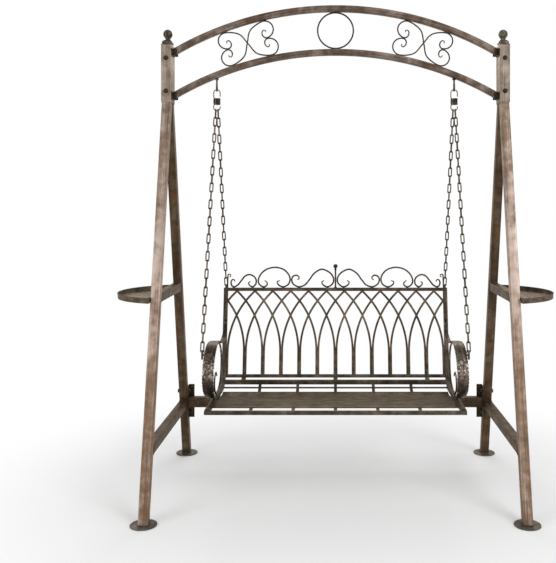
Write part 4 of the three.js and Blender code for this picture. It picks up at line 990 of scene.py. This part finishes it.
reach = upright_inner - GAP
lattice_pitch = (reach - 0.3) / 6
foot, head = back_point(0), back_point(BACK_HEIGHT)
level_bar(HALF + BAR / 2, FRONT_PLACE, front_level, Y, FRONT_RAIL, 2).build(
    "front_rail", "bench", "bench_bar", bench_paint, ["seat_front_rail"])
level_bar(reach, rear_place, rear_level, Y, REAR_RAIL, 2.2).build(
    "rear_rail", "bench", "bench_bar", bench_paint, ["seat_rear_rail"])
rail = level_bar(reach, foot.y, foot.z, back_front, BACK_RAIL, 2)
for bay in (-5, 0, 5):
    x = bay * lattice_pitch
    rail.sweep([(x, rear_place, rear_level + REAR_RAIL / 2 + GAP), back_point(0, 0, x)], X,
               box_section(20, 8, 1.2), start_face=Z)
rail.build("lower_back_rail", "bench", "bench_bar", bench_paint, ["back_bottom_rail"])
level_bar(reach, head.y, head.z, back_up, BACK_RAIL, 2).build(
    "upper_back_rail", "bench", "bench_bar", bench_paint, ["back_top_rail"])

# Seat: slats across curved supports, whose shape is pairs of a share of the depth and of the sink
HOLLOW_SHARES = ((0, -0.1), (0.045, 0.5), (0.12, 0.87), (0.23, 1), (0.35, 0.97), (0.47, 0.77), (0.6, 0.47),
                 (0.73, 0.23), (0.84, 0.2), (0.93, 0.36), (1, 0.5))
rear, front = rear_place - REAR_RAIL / 2 - GAP, front_rail_back + GAP
contour = smooth([(0, rear + (front - rear) * a, seat_level - SEAT_SINK * d) for a, d in HOLLOW_SHARES], 12)
lengths = walked(contour)


def on_contour(place):
    i = next(k for k in range(1, len(contour)) if lengths[k] >= place)
    t = (place - lengths[i - 1]) / (lengths[i] - lengths[i - 1])
    return contour[i - 1].lerp(contour[i], t), (contour[i] - contour[i - 1]).normalized()


seat = Shape()
for i in range(SUPPORTS):
    x = 2 * HALF * (i + 1) / (SUPPORTS + 1) - HALF
    seat.sweep([(x, p.y, p.z) for p in contour[::3]], X, box_section(SUPPORT_DEPTH, SUPPORT_HEIGHT, 1),
               start_face=-Y, end_face=-Y)
strip_section = box_section(STRIP_WIDTH, SLAT_THICKNESS, 1)
slat_section = box_section(SLAT_WIDTH, SLAT_THICKNESS, 1.3)
slat_step = (lengths[-1] - SLAT_FRONT - SLAT_REAR) / (SLATS - 1)
for i in range(SLATS + 1):
    middle, heading = on_contour(SLAT_REAR + slat_step * (i - 1) if i else STRIP_INSET)
    lift = (SUPPORT_HEIGHT + SLAT_THICKNESS) / 2 - SLAT_SEAT
    middle = middle + Vector((0, heading.z, -heading.y)) * lift
    row = line((-reach, middle.y, middle.z), (reach, middle.y, middle.z), 16)
    seat.sweep(row, heading, slat_section if i else strip_section, shift=random.Random(i).random() * 700)
seat.build("seat_panel", "bench", "seat_metal", seat_paint, ["seat_slats"])

# Lattice of flat bars in two layers
lattice_foot = BACK_RAIL / 2 + GAP
rise = BACK_HEIGHT - lattice_foot - LATTICE_BEND
shift = 1.5 * lattice_pitch - LATTICE_BAR / 2 + 0.3
radius = (rise ** 2 + shift ** 2) / (2 * shift)
lattice = Shape()
for pair in range(-7, 6):
    for direction in BOTH:
        start = pair * lattice_pitch + LATTICE_BAR / 2 - 0.3
        row = line((start, lattice_foot), (start, LATTICE_BEND), 4)[:-1]
        row += arc(start + radius, LATTICE_BEND, radius, pi, pi - asin(rise / radius), 22)
        layer = direction * (LATTICE_LAYER - LATTICE_LAP) / 2
        if min(abs(x) for x, _ in row) <= upright_inner + 8:
            lattice.sweep([(direction * x, y, layer) for x, y in row], Z,
                          box_section(LATTICE_LAYER, LATTICE_BAR, 0.9, 3), start_face=Y, end_face=Y,
                          shift=300 * random.random())
lattice.place(Matrix.Translation(back_point(0)) @ Matrix.Rotation(pi / 2 - back_lean, 4, "X"))
lattice.build("lattice", "bench", "bench_bar", lattice_paint, ["back_lattice"], reach=reach)

# Crest scrolls and finial
OUTER_SHARES = ((0.15, 0.42), (0.13, 0.55), (0.07, 0.6), (0.01, 0.48), (0, 0.28), (0.04, 0.08), (0.12, 0),
                (0.25, 0.12), (0.42, 0.55), (0.57, 0.9), (0.72, 1), (0.9, 0.85), (1, 0.5), (0.96, 0.16),
                (0.85, 0), (0.74, 0.12), (0.7, 0.34), (0.77, 0.43))
MIDDLE_SHARES = ((0.2, 0.33), (0.28, 0.2), (0.26, 0.06), (0.16, 0), (0.04, 0.12), (0, 0.34), (0.1, 0.7),
                 (0.3, 0.93), (0.54, 1), (0.78, 0.9), (0.95, 0.64), (1, 0.35), (0.93, 0.1), (0.78, 0),
                 (0.64, 0.1), (0.6, 0.26), (0.68, 0.32))
INNER_SHARES = ((0.13, 0.4), (0.17, 0.46), (0.165, 0.58), (0.11, 0.66), (0.045, 0.62), (0, 0.42),
                (0.05, 0.13), (0.176, 0), (0.3, 0.09), (0.42, 0.4), (0.55, 0.8), (0.72, 1), (0.9, 0.82),
                (1, 0.455), (0.96, 0.14), (0.85, 0), (0.755, 0.1), (0.72, 0.27), (0.77, 0.36))
middle_end = 0.4244 * upright_inner
CREST = (("outer", (0.9743 * upright_inner, 0.7393 * upright_inner), 60, OUTER_SHARES),
         ("middle", (0.7203 * upright_inner, middle_end), 95.5, MIDDLE_SHARES),
         ("inner", (middle_end - CREST_WIRE - GAP, CREST_WIRE + 1), 86, INNER_SHARES))
crest_foot = bar_top + GAP
wire_level = crest_foot + CREST_WIRE / 2


def crest_row(span, height, shares):
    """A scroll's curve, stretched so that its coarse form fills the span and the height."""
    coarse, fine = [smooth([(a, u, 0) for a, u in shares], steps) for steps in (2, 12)]
    low = Vector((min(p.x for p in coarse), min(p.y for p in coarse)))
    high = Vector((max(p.x for p in coarse), max(p.y for p in coarse)))
    out = []
    for p in fine:
        across, up = [min(1.0, max(0.0, (p[k] - low[k]) / (high[k] - low[k]))) for k in (0, 1)]
        out.append((span[0] + (span[1] - span[0]) * across, wire_level + height * up))
    return out


for side, sign in SIDES:
    for name, span, height, shares in CREST:
        row = crest_row(span, height, shares)
        points = [back_point(v, 0, sign * u) for u, v in row]
        scroll = Shape().wire(points, back_front, CREST_WIRE / 2, taper=34)
        # Welds where the scroll touches the rail
        spots = []
        for u, v in row:
            if v < wire_level + 0.4 and all(abs(u - s) > 12 for s in spots):
                spots.append(u)
        for u in spots:
            for depth in BOTH:
                run = [back_point(crest_foot + 0.2, depth * 2, sign * (u + d)) for d in (-4, -2, 0, 2, 4)]
                scroll.bead(run, 1.5, int(u))
        scroll.build(f"crest_{name}_{side}", "bench", "bench_bar", wire_metal,
                     [f"crest_scroll_{name}_{side}"])

STEM = [(0, 0.05), (7, 0.05), (7.2, 1.6), (5.6, 3.2), (4.1, 4.6), (4, 8), (4, 84), (4.2, 87), (6.2, 88.4),
        (6.6, 89.8), (6.0, 91.2), (4.5, 92.4)]
ball = arc(0, BALL_LEVEL + BALL_RADIUS, BALL_RADIUS, asin(4.6 / BALL_RADIUS) - pi / 2, pi / 2, 14)
finial = Shape().lathe(STEM + ball, back_point(crest_foot), back_up, 28)
finial.build("finial", "bench", "bench_bar", wire_metal, ["crest_finial"], sharp=50)

# Arms: the band has a width for each share of the length and height, the rod only the two shares
BAND_SHARES = [(0.954, 0.79, 0.36), (0.874, 0.71, 0.46), (0.762, 0.68, 0.52), (0.64, 0.705, 0.6),
               (0.491, 0.768, 0.78), (0.342, 0.81, 0.95), (0.211, 0.793, 1), (0.09, 0.69, 1),
               (0.018, 0.525, 1), (0, 0.365, 1), (0.04, 0.21, 0.95), (0.127, 0.105, 0.78),
               (0.248, 0.042, 0.5), (0.36, 0.004, 0.34), (0.49, 0, 0.24)]
ROD_SHARES = [(0.66, 0.631), (0.72, 0.471), (0.72, 0.291), (0.67, 0.121), (0.56, 0.021), (0.45, 0),
              (0.37, 0.056), (0.335, 0.161), (0.36, 0.271), (0.42, 0.321), (0.47, 0.25)]


def upright_face(level):
    axis = BACK_FOOT + (level - back_foot_level) * tan(back_lean)
    return axis - (BAR / 2 + GAP + BAND_HALF) / cos(back_lean)


arm_length = upright_face(arm_tail) - arm_front


def arm_point(along, up, width=0.0):
    return Vector((width, arm_front + arm_length * along, arm_foot + (arm_tail - arm_foot) * up))


def band_row(steps):
    """Points of the band's middle line, with its share of the full width as their first value."""
    tip, root = [Vector((0.26, upright_face(z), z)) for z in (arm_tail, arm_tail - ARM_TAIL)]
    points = [arm_point(*p) for p in BAND_SHARES]
    end = points.pop()
    return [tip] + [tip.lerp(root, k / 4) for k in range(1, 4)] + smooth([root] + points, steps) + [end]


fine, coarse = band_row(14), band_row(2)


def band_level(place):
    for a, b in zip(coarse, coarse[1:]):
        if b.y <= place < a.y:
            return b.z + (a.z - b.z) * (place - b.y) / (a.y - b.y)
    return coarse[0].z


def leaf_relief(along, across, width):
    """Height of the raised leaf: a midrib, slanting veins and lobes that overlap each other."""
    edge = abs(across)
    rib = exp(-(across / 0.085) ** 2)
    wave = (along / LEAF_PITCH + edge * 1.15) % 1.0
    lobe = 0.5 - 0.5 * cos(2 * pi * wave)
    vein = exp(-((wave - 0.02) / 0.09) ** 2) + exp(-((wave - 1.02) / 0.09) ** 2)
    leaf = 1.5 * rib + (1.3 * lobe - 1.4 * vein) * (1 - rib)
    amount = min(1.0, max(0.0, (width - 0.28) / 0.4))
    return amount * (1.0 - edge ** 6) * leaf + 0.25 * (1 - amount) * rib


def band_rings(x):
    """The embossed band: rings across it, and the length at each."""
    steps, rings = 26, []
    along = walked([(p.y, p.z) for p in fine])
    for i, (p, length) in enumerate(zip(fine, along)):
        before, after = fine[max(0, i - 1)], fine[min(len(fine) - 1, i + 1)]
        outward = X.cross(Vector((0, after.y - before.y, after.z - before.z)).normalized())
        scallop = 0.035 * cos(2 * pi * length / LEAF_PITCH) * min(1, max(0, (p.x - 0.3) / 0.4))
        half = BAND_WIDTH / 2 * p.x * (1.0 + scallop)
        ring = []
        for face, share in ((1, 1), (-1, 0.35)):
            for k in range(steps + 1):
                u = face * (2 * k / steps - 1)
                lift = face * 1.7 * (1 - abs(u) ** 9) + share * leaf_relief(length, u, p.x)
                if face > 0:
                    lift += 1.1 * (1 - u * u) * min(1.0, p.x * 1.6)
                ring.append(Vector((u * half, p.y, p.z)) + outward * lift)
        rings.append(moved(ring, x))
    return rings, along


for side, sign in SIDES:
    x = sign * arm_place
    shape = Shape()
    rings, along = band_rings(x)
    shape.grid(rings, along, [2.0 * k for k in range(len(rings[0]) + 1)])
    shape.ends(rings)
    # Scrolled rod, which thins over its second half
    rest = Vector((0, 0, BAND_HALF + ROD_WIRE / 2 - 0.6))
    top = arm_point(0.57, 0)
    top.z = band_level(top.y) - ROD_WIRE / 2
    rod = smooth([top] + [arm_point(a, u) + rest for a, u in ROD_SHARES], 12)
    shares = [i / (len(rod) - 1) for i in range(len(rod))]
    scales = [1.0 - 0.42 * max(0.0, 2 * t - 1) ** 1.3 for t in shares]
    shape.sweep(moved(rod, x), X, round_section(ROD_WIRE / 2, 16), scales=scales)
    # Chain lug with the loop that hangs from it
    root, crown = sign * LUG_ROOT, sign * LUG_REACH
    near, far = lug_place - LUG_HALF, lug_place + LUG_HALF
    staple = [Vector((root, near, band_level(near))), Vector((crown, near, lug_level)),
              Vector((crown, far, lug_level)), Vector((root, far, band_level(far)))]
    outward = (staple[1] - staple[0]).normalized().cross(Y)
    shape.wire(moved(rounded(staple, 5.5, 6), x), outward, LUG_WIRE / 2)
    low = lug_level - LOOP_DROP
    drop = [(crown, near, lug_level), (crown, near, low), (crown, far, low), (crown, far, lug_level)]
    shape.wire(moved(rounded(drop, 7.5, 7), x), X, LUG_WIRE / 2)
    shape.build(f"armrest_{side}", "bench", "arm_metal", arm_paint, [f"arm_{side}"], sharp=70)
    # Bolt that holds the tail on the upright
    level = arm_tail - ARM_BOLT
    seat = Vector((x, upright_face(level), level)) + back_front * BAND_HALF
    bolt = Shape().lathe(dome(5.6, 4.2, 0.7), seat, back_front, 24)
    bolt.lathe(turned((6.8, 0), (7, 0.4), (6.7, 0.9)), seat, back_front, 24)
    bolt.build(f"arm_bolt_{side}", "bench", "dark_fittings", dark_iron)

    spread = CHAIN_APART + CHAIN_WIRE / 2
    hang = hook_bottom - sqrt(spring_radius ** 2 - spread ** 2)
    chain(f"links_front_{side}", Vector((sign * (HANGER + CHAIN_APART), 0, hang)),
          Vector((sign * (arm_place + LUG_REACH), lug_place, lug_level)), Y,
          [f"chain_front_{side}"], 3 if sign < 0 else 4)
    chain(f"links_rear_{side}", Vector((sign * (HANGER - CHAIN_APART), 0, hang)),
          back_point(bar_top + LUG_RISE, 0, sign * HALF), back_front,
          [f"chain_rear_{side}"], 5 if sign < 0 else 6)

# Floor, backdrop, light and camera
WHITE = (1, 1, 1)
FLOOR_REACH, FLOOR_SPAN = 14.0, 1.9


def floor_white():
    """Diffuse under the object, so that its shadow shows, and plain white further off."""
    mat = bpy.data.materials.new("floor_white")
    nodes = Nodes(mat)
    place = nodes.add("TexCoord").outputs["Object"]
    flat = nodes.add("Mapping", {"Vector": place, "Scale": (1 / FLOOR_SPAN, 1 / FLOOR_SPAN, 0)})
    span = nodes.add("VectorMath", {0: flat.outputs["Vector"]}, operation="LENGTH").outputs["Value"]
    share = nodes.times(nodes.ramp(span, 0.55, 1.0, interpolation_type="SMOOTHSTEP"), nodes.seen())
    cover = nodes.add("BsdfDiffuse", {"Color": (0.93, 0.93, 0.93)}).outputs[0]
    glow = nodes.add("Emission", {"Color": WHITE, "Strength": 1.0}).outputs[0]
    mixed = nodes.add("MixShader", {0: share, 1: cover, 2: glow})
    nodes.add("OutputMaterial", {"Surface": mixed.outputs[0]})
    return mat


floor_mesh = bpy.data.meshes.new("floor")
corners = [(x * FLOOR_REACH, y * FLOOR_REACH, 0) for x, y in ((-1, -1), (1, -1), (1, 1), (-1, 1))]
floor_mesh.from_pydata(corners, [], [(0, 1, 2, 3)])
floor = bpy.data.objects.new("floor", floor_mesh)
floor.location.z = -0.0006
bpy.context.scene.collection.objects.link(floor)
floor.data.materials.append(floor_white())

world = bpy.data.worlds.new("studio")
bpy.context.scene.world = world
nodes = Nodes(world)
sky, white = [nodes.add("Background", {"Color": WHITE, "Strength": power}).outputs[0]
              for power in (0.72, 1.0)]
mixed = nodes.add("MixShader", {0: nodes.seen(), 1: sky, 2: white})
nodes.add("OutputWorld", {"Surface": mixed.outputs[0]})


def lamp(name, place, target, size, power):
    data = bpy.data.lights.new(name, "AREA")
    data.shape = "RECTANGLE"
    data.size, data.size_y = size
    data.energy = power
    obj = bpy.data.objects.new(name, data)
    obj.location = place
    obj.rotation_euler = (Vector(target) - Vector(place)).to_track_quat("-Z", "Y").to_euler()
    bpy.context.scene.collection.objects.link(obj)


lamp("key", (3.2, -4.2, 3.6), (0, 0, 1.0), (2.4, 2.4), 100)
lamp("fill", (-3.6, -3.6, 2.2), (0, 0, 1.0), (2.4, 2.4), 50)
lamp("rim", (0.0, 3.6, 3.4), (0, 0, 1.2), (3.0, 1.6), 45)

# Focal length and principal point are in pixels of the photo
FOCAL, PHOTO_WIDTH, PHOTO_HEIGHT = 761.1, 556, 563
POINT_X, POINT_Y = 335.5, 204.9
SENSOR = 36
camera_data = bpy.data.cameras.new("view")
camera_data.sensor_width = SENSOR
camera_data.sensor_fit = "AUTO"
camera_data.lens = FOCAL * SENSOR / PHOTO_HEIGHT
camera_data.shift_x = -(POINT_X - PHOTO_WIDTH / 2) / PHOTO_HEIGHT
camera_data.shift_y = -(PHOTO_HEIGHT / 2 - POINT_Y) / PHOTO_HEIGHT
camera = bpy.data.objects.new("view", camera_data)
camera.location = (0, -3.498, 1.285)
camera.rotation_euler = (pi / 2, 0, 0)
bpy.context.scene.collection.objects.link(camera)
bpy.context.scene.camera = camera
bpy.context.scene.view_settings.view_transform = "Standard"
